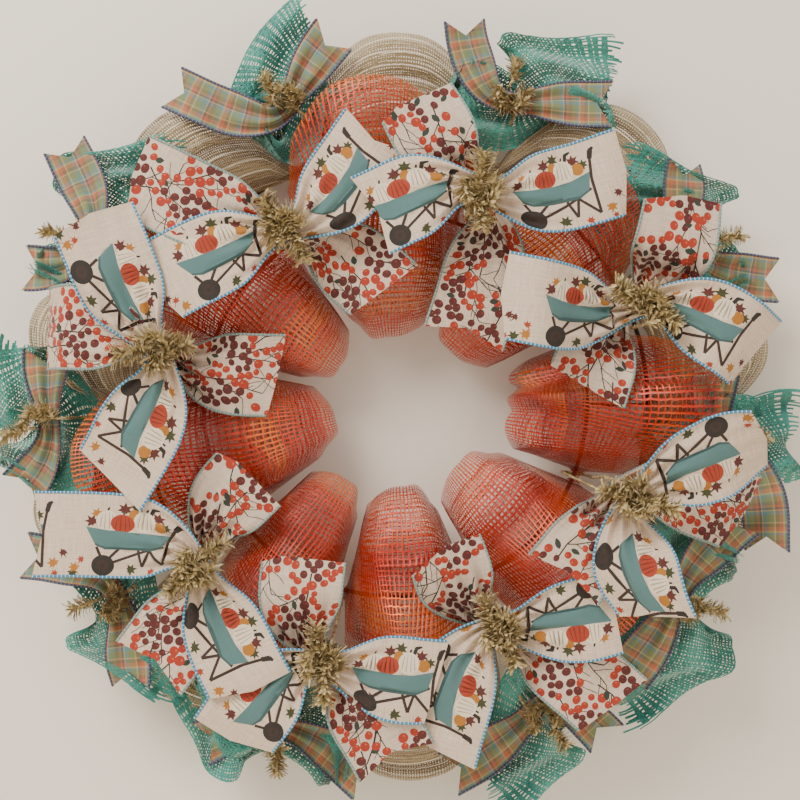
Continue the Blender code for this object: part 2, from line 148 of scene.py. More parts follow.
# %% Stage, lights and camera
def stage_plane(name, centre, size, normal, finish):
    mesh = bpy.data.meshes.new(name)
    turn = Vector(normal).to_track_quat("Z", "Y").to_matrix()
    corners = [(-size, -size, 0), (size, -size, 0), (size, size, 0), (-size, size, 0)]
    mesh.from_pydata([turn @ Vector(c) + Vector(centre) for c in corners], [], [(0, 1, 2, 3)])
    plane = bpy.data.objects.new(name, mesh)
    bpy.context.scene.collection.objects.link(plane)
    mesh.materials.append(finish)
    return plane


pale_paint, tree = blank_material("pale_matt_paint")
paint = add(tree, "ShaderNodeBsdfPrincipled", values={"Base Color": linear("#F3ECE0"), "Roughness": 0.7})
clear = add(tree, "ShaderNodeBsdfTransparent")
back_side = add(tree, "ShaderNodeNewGeometry").outputs["Backfacing"]
one_sided = add(tree, "ShaderNodeMixShader", links={0: back_side, 1: paint.outputs[0], 2: clear.outputs[0]})
add(tree, "ShaderNodeOutputMaterial", links={0: one_sided.outputs[0]})

FLOOR_DROP = 0.25  # from the wreath's lowest point
WALL_Y = 0.014  # just clear of the deepest billow
STAGE_HALF = 3.0
stage_plane("floor", (0, 0, CAD_BOX[0][2] - FLOOR_DROP), STAGE_HALF, (0, 0, 1), pale_paint)
stage_plane("backdrop", (0, WALL_Y, CENTRE.z), STAGE_HALF, (0, -1, 0), pale_paint)

world = bpy.data.worlds.new("room")
world.use_nodes = True
world.node_tree.nodes["Background"].inputs["Color"].default_value = linear("#F3EFEA")
world.node_tree.nodes["Background"].inputs["Strength"].default_value = 0.68
bpy.context.scene.world = world


def soft_panel(name, place, size, watts, tint):
    lamp = bpy.data.lights.new(name, "AREA")
    lamp.shape, lamp.size, lamp.size_y = "RECTANGLE", size, size
    lamp.energy, lamp.color = watts, linear(tint)[:3]
    panel = bpy.data.objects.new(name, lamp)
    panel.location = place
    panel.rotation_euler = (CENTRE - Vector(place)).to_track_quat("-Z", "Y").to_euler()
    bpy.context.scene.collection.objects.link(panel)


soft_panel("window_light", (-0.9, -1.5, 1.0), 0.9, 48, "#FFF6EC")
soft_panel("fill_light", (1.3, -1.7, 0.1), 1.2, 10, "#FFF1E4")

CAMERA_DISTANCE = 1.15
camera_data = bpy.data.cameras.new("camera")
camera_data.lens = 61.7
camera = bpy.data.objects.new("camera", camera_data)
camera.location = (0.004, -CAMERA_DISTANCE, CENTRE.z + 0.004)
camera.rotation_euler = (math.pi / 2, 0, 0)
bpy.context.scene.collection.objects.link(camera)
bpy.context.scene.camera = camera
print("camera at", [round(v, 3) for v in camera.location])

# %% [markdown]
# ## Reading a strip's solid
#
# Each ribbon's plain solid is a thin bent slab from one tip, through the pinch, to the other tip. Cloth has
# no such thickness, so what is wanted from the slab is its two long edges, as matching points. Points on
# opposite faces of the slab lie closer together than anything else, so they are joined. The slab's thin side
# faces then shrink to lines, and those lines make one loop round the strip. The pairing across that loop with
# the shortest rungs is the strip.


# %% Find a strip's edges
SLAB_MOST = 0.0016  # a little over how thick every strip's slab is


def strip_edges(node):
    """Two matching rows of points along a strip's edges, from tip to tip."""
    mesh = bpy.data.objects[node].data
    raw = np.array([v.co[:] for v in mesh.vertices])
    apart = np.linalg.norm(raw[:, None] - raw[None], axis=2)
    label = np.array([np.argmax(row < SLAB_MOST) for row in apart])
    while not np.array_equal(label, label[label]):
        label = label[label]
    places = {k: raw[label == k].mean(0) for k in np.unique(label)}
    border = {k: set() for k in places}
    for face in mesh.polygons:
        corners = {int(label[v]) for v in face.vertices}
        if len(corners) == 2:
            a, b = corners
            border[a].add(b)
            border[b].add(a)
    loop = [min(border)]
    while len(loop) < len(border):
        loop.append(next(k for k in sorted(border[loop[-1]]) if k not in loop[-2:] and k not in loop))
    points = np.array([places[k] for k in loop])
    half = len(points) // 2
    tries = [np.roll(points, -k, axis=0) for k in range(len(points))]
    best = min(tries, key=lambda p: np.linalg.norm(p[:half] - p[:half - 1:-1], axis=1).sum())
    return best[:half], best[:half - 1:-1]


edges = strip_edges("cart_ribbon_1")
print("stations:", len(edges[0]), "widths:", np.linalg.norm(edges[0] - edges[1], axis=1).round(4))

# %% [markdown]
# ## From a slab's edges to draped cloth
#
# Thirteen stations are too coarse for cloth, so the edges are resampled every couple of millimetres and
# smoothed. A point of the cloth is then named by how far along the strip it lies and how far across, both
# measured on the cloth when flat. Where the strip is pinched, it is narrower than its cloth, and the spare
# width goes into pleats: the less room there is, the deeper they stand. That keeps the cloth's area, as real
# cloth does.


# %% The draped strip
def smoothed(rows, reach):
    """Rows of numbers averaged over their neighbours, with both ends kept where they are."""
    kernel = np.exp(-0.5 * (np.arange(-2 * reach, 2 * reach + 1) / reach) ** 2)
    kernel /= kernel.sum()
    start = 2 * rows[0] - rows[1 : 2 * reach + 1][::-1]
    end = 2 * rows[-1] - rows[-2 * reach - 1 : -1][::-1]
    padded = np.vstack([start, rows, end])
    return np.stack([np.convolve(padded[:, k], kernel, "valid") for k in range(rows.shape[1])], 1)


class Drape:
    """A strip of cloth laid along its solid's edges."""

    STEP = 0.002
    KNOT_W = 0.016  # the least width at the knot of a strip that opens out

    def __init__(self, node, flat_width, pleats, seed, start_deg=None, ripple=0.0025):
        left, right = strip_edges(node)
        pinch = np.argmin(np.linalg.norm(left - right, axis=1))
        if start_deg is not None:
            to_tips = [(left[k] + right[k]) / 2 - (left[pinch] + right[pinch]) / 2 for k in (0, -1)]
            aim = np.array([math.cos(math.radians(start_deg)), math.sin(math.radians(start_deg))])
            if to_tips[1][[0, 2]] @ aim > to_tips[0][[0, 2]] @ aim:
                left, right = left[::-1], right[::-1]
        middle = (left + right) / 2
        along = np.concatenate([[0], np.cumsum(np.linalg.norm(np.diff(middle, axis=0), axis=1))])
        count = max(int(along[-1] / self.STEP), 20)
        at = np.linspace(0, along[-1], count + 1)
        dense = [np.stack([np.interp(at, along, row[:, k]) for k in range(3)], 1) for row in (left, right)]
        dense = [smoothed(rows, 4) for rows in dense]
        self.middle = (dense[0] + dense[1]) / 2
        steps = np.linalg.norm(np.diff(self.middle, axis=0), axis=1)
        self.at = np.concatenate([[0], np.cumsum(steps)])
        self.length = self.at[-1]
        side = dense[1] - dense[0]
        self.width = np.linalg.norm(side, axis=1)
        self.side = side / self.width[:, None]
        run = np.gradient(self.middle, axis=0)
        run /= np.linalg.norm(run, axis=1)[:, None]
        out = np.cross(self.side, run)
        if out[:, 1].mean() > 0:  # the cloth's face looks away from the door
            self.side, out = -self.side, -out
        self.out = out / np.linalg.norm(out, axis=1)[:, None]
        self.flat_width, self.pleats, self.ripple = flat_width, pleats, ripple
        self.pinch = self.at[np.argmin(self.width)]
        self.seed = seed

    def open_out(self, full, within):
        """Lets the strip reach its full width sooner than its solid does, as loose cloth will."""
        share = np.clip(np.abs(self.at - self.pinch) / within, 0, 1)
        opened = self.KNOT_W + (full - self.KNOT_W) * share * share * (3 - 2 * share)
        self.width = np.maximum(self.width, opened)

    def place(self, s, y):
        """Where flat cloth points are: s along the strip and y across it, both in metres, as arrays."""
        s, y = np.asarray(s, float), np.asarray(y, float)
        pick = lambda rows: np.stack([np.interp(s, self.at, rows[:, k]) for k in range(3)], 1)
        width = np.interp(s, self.at, self.width)
        share = y / self.flat_width
        flank = self.flat_width / self.pleats
        room = np.minimum(width, self.flat_width) / self.pleats
        height = 0.5 * np.sqrt(np.maximum(flank**2 - room**2, 0))
        wave = np.sin(math.pi * self.pleats * (share + 0.04 * np.sin(self.seed + 40 * s)))
        off = height * wave
        from_pinch = np.abs(s - self.pinch)
        free = np.clip(from_pinch / 0.05 - 0.35, 0, 1)
        turn = self.seed * 1.7
        off += free * self.ripple * np.sin(from_pinch * 78 + turn + 1.6 * share)
        off += free * self.ripple * 1.1 * np.sin(from_pinch * 47 + 2 * turn) * (2 * share) * 1.2
        return pick(self.middle) + pick(self.side) * (share * width)[:, None] + pick(self.out) * off[:, None]


def mesh_piece(name, points, faces, finish, uv=None, smooth=True):
    """A new object from points and faces, with its cloth coordinates in metres as its UV map."""
    mesh = bpy.data.meshes.new(name)
    mesh.from_pydata([tuple(p) for p in points], [], [tuple(map(int, f)) for f in faces])
    if uv is not None:
        layer = mesh.uv_layers.new(name="UVMap")
        corner = np.empty(len(mesh.loops), np.int32)
        mesh.loops.foreach_get("vertex_index", corner)
        layer.data.foreach_set("uv", np.asarray(uv, np.float32)[corner].ravel())
    if smooth:
        mesh.shade_smooth()
    mesh.materials.append(finish)
    piece = bpy.data.objects.new(name, mesh)
    bpy.context.scene.collection.objects.link(piece)
    return piece


# %% [markdown]
# ## The printed ribbons' artwork
#
# The ribbon is linen-look polyester with a printed face. A print could be an image, but then it would blur
# close up. Here it is drawn as flat shapes in millimetres, cut into the cloth's own mesh as a paper cut is,
# and each face is coloured by the topmost shape that it lies in. Shapes are built from four strokes of the
# kind that a sign painter uses: ellipses, bars, leaves and star-shaped maple leaves.


# %% Drawing strokes
def ellipse(x, y, rx, ry, turn=0.0, sides=14):
    c, s = math.cos(turn), math.sin(turn)
    ring = [(rx * math.cos(math.tau * k / sides), ry * math.sin(math.tau * k / sides)) for k in range(sides)]
    return [(x + c * a - s * b, y + s * a + c * b) for a, b in ring]


def bar(x0, y0, x1, y1, w0, w1=None):
    """A straight bar from one point to another, w0 wide at its start and w1 at its end."""
    w1 = w0 if w1 is None else w1
    length = math.hypot(x1 - x0, y1 - y0)
    nx, ny = -(y1 - y0) / length / 2, (x1 - x0) / length / 2
    return [(x0 + nx * w0, y0 + ny * w0), (x1 + nx * w1, y1 + ny * w1), (x1 - nx * w1, y1 - ny * w1),
            (x0 - nx * w0, y0 - ny * w0)]


def leaf(x, y, length, breadth, turn):
    """A pointed oval leaf from its stalk end at x, y."""
    c, s = math.cos(turn), math.sin(turn)
    half = [(0, 0), (0.25, 0.42), (0.55, 0.5), (0.82, 0.28), (1, 0)]
    back = [(a, -b) for a, b in half[-2:0:-1]]
    ring = [(a * length, b * breadth) for a, b in half + back]
    return [(x + c * a - s * b, y + s * a + c * b) for a, b in ring]


# half a maple leaf's outline from its middle tip, as degrees and share of its size
MAPLE = ((0, 1.0), (22, 0.52), (48, 0.92), (68, 0.45), (100, 0.82), (126, 0.40), (150, 0.50), (176, 0.30))


def maple(x, y, size, turn):
    """A maple leaf, its middle lobe pointing along turn."""
    half = [(math.radians(a), r * size) for a, r in MAPLE]
    ring = half + [(-a, r) for a, r in half[:0:-1]]
    return [(x + r * math.cos(turn + a), y + r * math.sin(turn + a)) for a, r in ring]


INK = {
    "maroon": "#7A2A26", "rust": "#C05A33", "gold": "#C9972F", "moss": "#56602A", "brown": "#4B2C22",
    "black": "#231A18", "tub": "#739EA2", "tub_shade": "#547F84", "cream": "#F6F0E2", "rib": "#C9BFAE",
    "pumpkin": "#C05623", "pumpkin_rib": "#97391F", "wine": "#7B1721", "wine_light": "#A8404A",
    "berry": "#C54E20", "berry_light": "#DE8A5C", "sage": "#40564E", "twig": "#3A2421",
}


CART_STRETCH = (1.22, 1.1)  # from the drawing's units to millimetres, along and across the ribbon


def cart(x, rng):
    """A garden cart heaped with pumpkins, about 70 mm long, with its middle at x. Painted back to front."""
    art = []

    def put(ink, ring):
        art.append((ink, [(x + CART_STRETCH[0] * a, CART_STRETCH[1] * b) for a, b in ring]))

    put("maroon", maple(-22, 9, 5.6, 2.2))
    put("gold", maple(-19.5, 14.5, 4.6, 1.4))
    put("maroon", maple(-3.5, 18, 5.6, 1.5))
    put("moss", maple(3.2, 20.5, 5.2, 1.3))
    put("gold", ellipse(2.2, 15, 3.2, 4.2))
    put("maroon", maple(16, 16.5, 5.4, 0.6))
    put("moss", maple(21.5, 12.5, 4.6, 0.5))
    put("black", bar(11.2, 16, 13.0, 22.4, 2.0, 2.4))
    put("black", bar(12.6, 22.0, 16.4, 23.4, 2.6, 1.2))
    put("gold", ellipse(18.2, 10.5, 3.9, 4.3))
    for px, py, rx, ry, skin, rib in (
        (-13.5, 10, 6.4, 7.2, "cream", "rib"),
        (8.8, 11.5, 6.6, 7.4, "cream", "rib"),
        (-4.2, 8.6, 7.2, 6.4, "pumpkin", "pumpkin_rib"),
    ):
        stalk = bar(px, py + ry - 1.2, px + 1.0, py + ry + 2.2, 1.5, 1.0)
        put("moss" if skin == "pumpkin" else "black", stalk)
        put(skin, ellipse(px, py, rx, ry, 0, 20))
        for share in (-0.62, -0.2, 0.25, 0.64):
            height = math.sqrt(1 - share * share)
            top, low = py + ry * 0.86 * height, py - ry * 0.8 * height
            put(rib, bar(px + rx * share * 0.7, top, px + rx * share, low, 0.35, 0.75))
    put("brown", bar(-10, -19, 23.0, -4.5, 1.9))
    put("brown", bar(-19.3, -8, -16.0, -16, 1.9))
    put("brown", bar(-5.5, -9, -11.5, -16, 1.9))
    put("brown", bar(6.5, -9.5, 10.5, -21.5, 1.8))
    put("brown", bar(10.5, -21.5, 13.6, -9, 1.8))
    put("brown", bar(13.6, -9, 24.5, -22.5, 1.8))
    put("brown", bar(24.5, -22.5, 24.9, 2, 1.9, 1.9))
    keel = [(21.5, -6.2), (15, -9.4), (-14, -9.8), (-20, -7)]
    put("tub", [(-26, 5.6), (-13, 3.6), (0, 2.9), (12, 3.6), (25, 6.8), *keel])
    put("tub_shade", [(-20.6, -5.4), (-14, -7.9), (15, -7.6), (21.9, -4.6), *keel])
    put("brown", bar(24.9, 2, 27.6, 17.5, 1.9, 1.8))
    put("black", bar(27.2, 15.2, 28.8, 20.8, 3.0, 3.4))
    put("black", bar(28.4, 20.4, 31.0, 22.2, 3.2, 1.6))
    put("black", ellipse(-15, -20.8, 7.3, 7.3, 0, 24))
    put("brown", ellipse(-15, -20.8, 3.9, 3.9, 0, 16))
    put("black", ellipse(-15, -20.8, 1.5, 1.5, 0, 8))
    for dx, dy, size, ink in (
        (-33, -23, 4.8, "gold"), (-41, -13, 3.4, "maroon"), (2.5, -23.5, 5.2, "moss"),
        (16.8, -26, 3.6, "rust"), (32, -20, 5.0, "gold"), (38.5, -12, 3.8, "maroon"),
        (44, -26, 4.6, "moss"), (50, -17, 3.4, "rust"), (-46, -27, 3.2, "rust"),
    ):
        put(ink, maple(dx, dy, size, rng.uniform(0, math.tau)))
        put(ink, bar(dx, dy, dx + rng.uniform(-4, 4), dy - size * 1.1, 0.5, 0.4))
    return art


def twig(art, rng, x, y, turn, length, level):
    """A bending twig that forks twice, in three straight stretches."""
    for _ in range(3):
        nx, ny = x + math.cos(turn) * length / 3, y + math.sin(turn) * length / 3
        art.append(("twig", bar(x, y, nx, ny, 1.15 - 0.25 * level, 1.0 - 0.25 * level)))
        x, y, turn = nx, ny, turn + rng.uniform(-0.28, 0.28)
        if level < 2 and abs(y) < 30:
            fork = rng.choice((-1, 1)) * rng.uniform(0.55, 1.0)
            twig(art, rng, x, y, turn + fork, length * 0.62, level + 1)


def berry_art(length, rng):
    """Berries, leaves and twigs for a ribbon of that length in millimetres, spread so that few touch."""
    art = []
    x = -10.0
    while x < length:
        twig(art, rng, x, rng.uniform(-24, 24), rng.uniform(-0.7, 0.7), rng.uniform(34, 44), 0)
        x += 21
    taken = []
    for _ in range(int(length * 9)):
        x, y = rng.uniform(-2, length + 2), rng.uniform(-30, 30)
        patch = math.sin(x * 0.11 + 2) + math.sin(y * 0.13 + x * 0.05)
        kind = rng.random()
        size = rng.uniform(2.7, 4.2)
        room = 0.82 if kind > 0.08 else 1.3
        if patch < -0.9 or any(math.hypot(x - a, y - b) < (size + r) * room for a, b, r in taken):
            continue
        taken.append((x, y, size))
        if kind < 0.12:
            long, broad = rng.uniform(7, 9.5), rng.uniform(3.6, 5)
            art.append(("sage", leaf(x - 3, y, long, broad, rng.uniform(0, math.tau))))
            continue
        dark = patch + rng.uniform(-0.5, 0.5) > 0.25
        high = size * rng.uniform(0.82, 1)
        art.append(("wine" if dark else "berry", ellipse(x, y, size, high, rng.uniform(0, 3), 11)))
        shine = ellipse(x - size * 0.3, y + size * 0.3, size * 0.28, size * 0.2, 0.6, 5)
        art.append(("wine_light" if dark else "berry_light", shine))
    return art


art = berry_art(230, random.Random(4))
print("strokes on a berry ribbon:", len(art), "and on a cart:", len(cart(0, random.Random(1))))

# %% [markdown]
# ## Round threads along lines
#
# Edge wires and the ties' stems are all a round section swept along a line. A modifier tree does the sweep:
# the script lays down plain poly-lines, and Mesh to Curve, Curve to Mesh and a Circle turn them into threads
# whose radius and number of sides are the tree's own named inputs. A curve object's bevel would do as well,
# but a tree can be put on many lines at once and passes on how far along its line each point is, which the
# material needs.


# %% The thread tree
def thread_tree():
    tree = bpy.data.node_groups.new("threads_along_lines", "GeometryNodeTree")
    face = tree.interface
    face.new_socket("Geometry", in_out="INPUT", socket_type="NodeSocketGeometry")
    for label, kind, start in (("Radius", "NodeSocketFloat", 0.001), ("Sides", "NodeSocketInt", 4)):
        face.new_socket(label, in_out="INPUT", socket_type=kind).default_value = start
    face.new_socket("Material", in_out="INPUT", socket_type="NodeSocketMaterial")
    face.new_socket("Geometry", in_out="OUTPUT", socket_type="NodeSocketGeometry")
    start = add(tree, "NodeGroupInput")
    curve = add(tree, "GeometryNodeMeshToCurve", {"Mesh": start.outputs["Geometry"]})
    ring = add(tree, "GeometryNodeCurvePrimitiveCircle",
               {"Resolution": start.outputs["Sides"], "Radius": start.outputs["Radius"]})
    swept = add(tree, "GeometryNodeCurveToMesh",
                {"Curve": curve.outputs["Curve"], "Profile Curve": ring.outputs["Curve"]}, {"Fill Caps": True})
    plain = add(tree, "GeometryNodeRealizeInstances", {"Geometry": swept.outputs["Mesh"]})
    dyed = add(tree, "GeometryNodeSetMaterial",
               {"Geometry": plain.outputs["Geometry"], "Material": start.outputs["Material"]})
    end = add(tree, "NodeGroupOutput")
    tree.links.new(dyed.outputs["Geometry"], end.inputs["Geometry"])
    return tree


def made_plain(piece, tree, values):
    """Runs the tree on a piece with those named inputs, and keeps only the mesh that comes out."""
    modifier = piece.modifiers.new("grow", "NODES")
    modifier.node_group = tree
    for item in tree.interface.items_tree:
        if item.item_type == "SOCKET" and item.in_out == "INPUT" and item.name in values:
            modifier[item.identifier] = values[item.name]
    bpy.context.view_layer.update()
    mesh = bpy.data.meshes.new_from_object(piece.evaluated_get(bpy.context.evaluated_depsgraph_get()))
    piece.modifiers.remove(modifier)
    old = piece.data
    piece.data = mesh
    bpy.data.meshes.remove(old)
    mesh.name = piece.name
    return piece


THREADS = thread_tree()


def threads(name, lines, radius, sides, finish):
    """Threads along a list of lines of points. Each point keeps how far along its line it is, as 'run'."""
    points, edges, run = [], [], []
    for line in lines:
        first = len(points)
        steps = np.linalg.norm(np.diff(line, axis=0), axis=1)
        run += list(np.concatenate([[0], np.cumsum(steps)]))
        points += [tuple(p) for p in line]
        edges += [(k, k + 1) for k in range(first, len(points) - 1)]
    mesh = bpy.data.meshes.new(name)
    mesh.from_pydata(points, edges, [])
    mesh.attributes.new("run", "FLOAT", "POINT").data.foreach_set("value", np.array(run, np.float32))
    piece = bpy.data.objects.new(name, mesh)
    bpy.context.scene.collection.objects.link(piece)
    made_plain(piece, THREADS, {"Radius": radius, "Sides": sides, "Material": finish})
    piece.data.shade_smooth()
    return piece


def shown_as(piece, node_names):
    """Ties a finished piece to the root body and hides the CAD solids that it replaces."""
    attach(piece, "root")
    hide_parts(*node_names)


# %% [markdown]
# ## Linen-look ribbon
#
# Printed linen ribbon is a plain weave with slubs: single threads that swell and fade along their length. Two
# noises do it, each stretched about thirty times along one thread direction, and their crossing gives the
# cloth its checked grain. The UV map is in metres of cloth, so a thread is the same size on every ribbon. The
# print lies on the front only, and lets a little of the grain through, as ink does.


# %% Linen ribbon material
def weave(tree, pitch_mm, slub=0.55):
    """Two crossing sets of threads on a UV map in metres. Returns (height 0 to 1, slow unevenness 0 to 1)."""
    uv = add(tree, "ShaderNodeTexCoord").outputs["UV"]
    parts = add(tree, "ShaderNodeSeparateXYZ", {"Vector": uv})
    waves, slubs = [], []
    thin, long = 1.0 / (pitch_mm * 0.0011), 1.0 / (pitch_mm * 0.035)
    for axis, scale in (("X", (thin, long, 1)), ("Y", (long, thin, 1))):
        phase = maths(tree, "MULTIPLY", parts.outputs[axis], math.tau / (pitch_mm * 0.001))
        wave = maths(tree, "MULTIPLY_ADD", maths(tree, "SINE", phase), 0.5, 0.5)
        spread = add(tree, "ShaderNodeMapping", {"Vector": uv}, {"Scale": scale})
        noise = add(tree, "ShaderNodeTexNoise", {"Vector": spread.outputs["Vector"]},
                    {"Scale": 1.0, "Detail": 2.0})
        waves.append(wave)
        slubs.append(noise.outputs["Fac"])
    height = maths(tree, "MAXIMUM", waves[0], waves[1])
    uneven = maths(tree, "MULTIPLY", maths(tree, "ADD", slubs[0], slubs[1]), 0.5)
    even_part, uneven_part = maths(tree, "MULTIPLY", height, 1 - slub), maths(tree, "MULTIPLY", uneven, slub)
    return maths(tree, "ADD", even_part, uneven_part), uneven


def linen_print(name, ground, shade, ink_share=0.97):
    finish, tree, shader = shaded_material(name)
    height, uneven = weave(tree, 0.55)
    fade = add(tree, "ShaderNodeValToRGB", {"Fac": uneven})
    fade.color_ramp.elements[0].position, fade.color_ramp.elements[0].color = 0.34, linear(shade)
    fade.color_ramp.elements[1].position, fade.color_ramp.elements[1].color = 0.62, linear(ground)
    ink = add(tree, "ShaderNodeAttribute", attribute_name="print")
    grain = mixed(tree, 0.42, ink.outputs["Color"], fade.outputs["Color"], "MULTIPLY")
    back = add(tree, "ShaderNodeNewGeometry").outputs["Backfacing"]
    front = maths(tree, "SUBTRACT", 1.0, back)
    share = maths(tree, "MULTIPLY", maths(tree, "MULTIPLY", ink.outputs["Alpha"], front), ink_share)
    tree.links.new(mixed(tree, share, fade.outputs["Color"], grain), shader.inputs["Base Color"])
    bump = add(tree, "ShaderNodeBump", {"Height": height}, {"Strength": 0.5, "Distance": 0.0002})
    tree.links.new(bump.outputs["Normal"], shader.inputs["Normal"])
    shader.inputs["Roughness"].default_value = 0.78
    shader.inputs["Sheen Weight"].default_value = 0.15
    shader.inputs["Sheen Roughness"].default_value = 0.4
    return finish


# Linen-look polyester ribbon, natural beige, with a matt multi-colour print on its face.
CART_LINEN = linen_print("printed_linen_natural", "#DDCBB8", "#BFA78F")
# The same ribbon with the berry print, on a slightly greyer ground.
BERRY_LINEN = linen_print("printed_linen_berries", "#D9C8B6", "#B9A38E")


def edge_wire(name, ground, tick, share):
    """Thread wrapped round a ribbon's edge wire: a ground colour with ticks of another every 3 mm or so."""
    finish, tree, shader = shaded_material(name)
    run = add(tree, "ShaderNodeAttribute", attribute_name="run").outputs["Fac"]
    step = maths(tree, "FRACT", maths(tree, "DIVIDE", run, 0.0031))
    on = maths(tree, "LESS_THAN", step, share)
    tree.links.new(mixed(tree, on, ground, tick), shader.inputs["Base Color"])
    twist = maths(tree, "SINE", maths(tree, "MULTIPLY", run, math.tau / 0.0006))
    bump = add(tree, "ShaderNodeBump", {"Height": twist}, {"Strength": 0.5, "Distance": 0.0002})
    tree.links.new(bump.outputs["Normal"], shader.inputs["Normal"])
    shader.inputs["Roughness"].default_value = 0.62
    return finish


# Blue and white overlock thread on the cart ribbon's wired edge.
BLUE_EDGE = edge_wire("blue_ticked_edge_thread", "#3788B4", "#C9DDE2", 0.24)
# Grey-green overlock thread on the berry ribbon's wired edge.
SAGE_EDGE = edge_wire("sage_edge_thread", "#7F9692", "#A9B9B2", 0.2)
print("ribbon materials made")

# %% [markdown]
# ## The sixteen printed ribbons
#
# Each ribbon is one length of cloth, tied at its middle. Its flat outline, a grid of points and the print's
# own outlines are cut together by a constrained Delaunay triangulation, and only then is each point moved to
# its place on the draped strip. That keeps the print's edges sharp at any distance.


# %% Printed ribbons
GRID = 2.3  # the cloth's own mesh, in millimetres
HEM = 0.2  # the print stops this far from the edge
EDGE_WIRE_R = 0.00105  # the wrapped wire along each edge, in metres


def cut_to_cloth(ring, half):
    """A stroke's outline held inside the ribbon's edges and made anticlockwise, or None if nothing is left."""
    area = sum(a[0] * b[1] - b[0] * a[1] for a, b in zip(ring, ring[1:] + ring[:1]))
    if max(p[1] for p in ring) > half - HEM or min(p[1] for p in ring) < HEM - half:
        ring = [(p[0], min(max(p[1], HEM - half), half - HEM)) for p in ring]
        if max(p[1] for p in ring) - min(p[1] for p in ring) < 0.3:
            return None
    return ring if area > 0 else ring[::-1]


def printed_ribbon(name, art, finish, edge, drape, tips):
    """art is painted strokes in millimetres, x along the ribbon and y to the left of it."""
    half, length = drape.flat_width * 500, drape.length * 1000
    start, end = tips
    # anticlockwise, as every ring cut into the cloth is
    outline = [(0, half), (start[0], 0), (start[1], -half)]
    outline += [(length - end[1], -half), (length - end[0], 0), (length, half)]
    points = [Vector(p) for p in outline]
    faces = [list(range(len(outline)))]
    across = np.linspace(-half, half, int(2 * half / GRID) + 1)
    for x in np.arange(GRID / 2, length, GRID):
        for k, y in enumerate(across):
            points.append(Vector((x + 0.3 * GRID * (k % 2), y)))
    inks = [None]
    for ink, ring in art:
        low, high = min(p[0] for p in ring), max(p[0] for p in ring)
        if high < 0 or low > length:
            continue
        ring = cut_to_cloth(ring, half)
        if ring is None:
            continue
        first = len(points)
        points += [Vector(p) for p in ring]
        faces.append(list(range(first, len(points))))
        inks.append(ink)
    found = delaunay_2d_cdt(points, [], faces, 0, 1e-4)
    verts, tris, origin = np.array([tuple(v) for v in found[0]]), found[2], found[5]
    keep = [k for k, made_of in enumerate(origin) if 0 in made_of]
    colour = np.zeros((len(keep), 4), np.float32)
    for row, k in enumerate(keep):
        top = max(origin[k])
        if top:
            colour[row] = INK_LINEAR[inks[top]]
    placed = drape.place(verts[:, 0] / 1000, -verts[:, 1] / 1000)
    piece = mesh_piece(name, placed, [tris[k] for k in keep], finish, uv=verts / 1000)
    piece.data.attributes.new("print", "FLOAT_COLOR", "FACE").data.foreach_set("color", colour.ravel())
    edge_lines = []
    for sign, (a, b) in ((1, (0, 0)), (-1, (start[1], end[1]))):
        x = np.arange(a + 0.3, length - b - 0.3, 2.0)
        edge_lines.append(drape.place(x / 1000, np.full(len(x), -sign * (half - HEM) / 1000)))
    wire = threads(name + "_edge", edge_lines, EDGE_WIRE_R, 5, edge)
    return piece, wire


# ink soaks in, so a print is a little deeper than its colour card
INK_LINEAR = {name: tuple(c**1.5 for c in linear(hex)[:3]) + (1.0,) for name, hex in INK.items()}
PRINT_W = 0.0635  # a 2.5 in ribbon
# which way the start of each ribbon lies from its knot, in degrees, seen from the front
CART_START = (203, 193, 176, 23, 8, 221, 170, 114)
BERRY_START = (160, 125, 68, 230, 124, 100, 60, 169)
CART_PLACES = (-158, -54, 54, 158)  # millimetres along the ribbon from the knot
# how far in each end is cut, at its middle and its far corner: slanting, dovetailed or pointed
CUTS = (((0, 12), (6, 14)), ((7, 0), (0, 10)), ((-6, 6), (9, 0)), ((0, 9), (7, 14)))
for k in range(8):
    rng = random.Random(100 + k)
    for kind, starts, finish, edge in (
        ("cart", CART_START, CART_LINEN, BLUE_EDGE), ("berry", BERRY_START, BERRY_LINEN, SAGE_EDGE)
    ):
        node = f"{kind}_ribbon_{k + 1}"
        drape = Drape(node, PRINT_W, 8, seed=rng.uniform(0, 6), start_deg=starts[k])
        middle = drape.pinch * 1000
        if kind == "cart":
            art = []
            for place in CART_PLACES:
                art += cart(middle + place + rng.uniform(-5, 5), rng)
        else:
            art = berry_art(drape.length * 1000, rng)
        cut = CUTS[rng.randrange(len(CUTS))]
        made = printed_ribbon(f"{kind}_print_{k + 1}", art, finish, edge, drape, cut)
        for piece in made:
            shown_as(piece, [node])
    print(node, "length", round(drape.length, 3), "faces", [len(piece.data.polygons) for piece in made])

# %% [markdown]
# ## Teal burlap
#
# Deco burlap is open enough for its yarns to be seen one by one, so here each yarn is a band of its own,
# three points wide and domed. Soft jute yarn flattens when it is woven, so a flat band covers as much as the
# real one, where a thin round thread would leave large holes. Warp and weft wave over and under each other on
# the draped strip, and their ends stick out unevenly where the strip was cut. A flat sheet with a bump map
# would look right from the front only, and its cut ends would be straight.


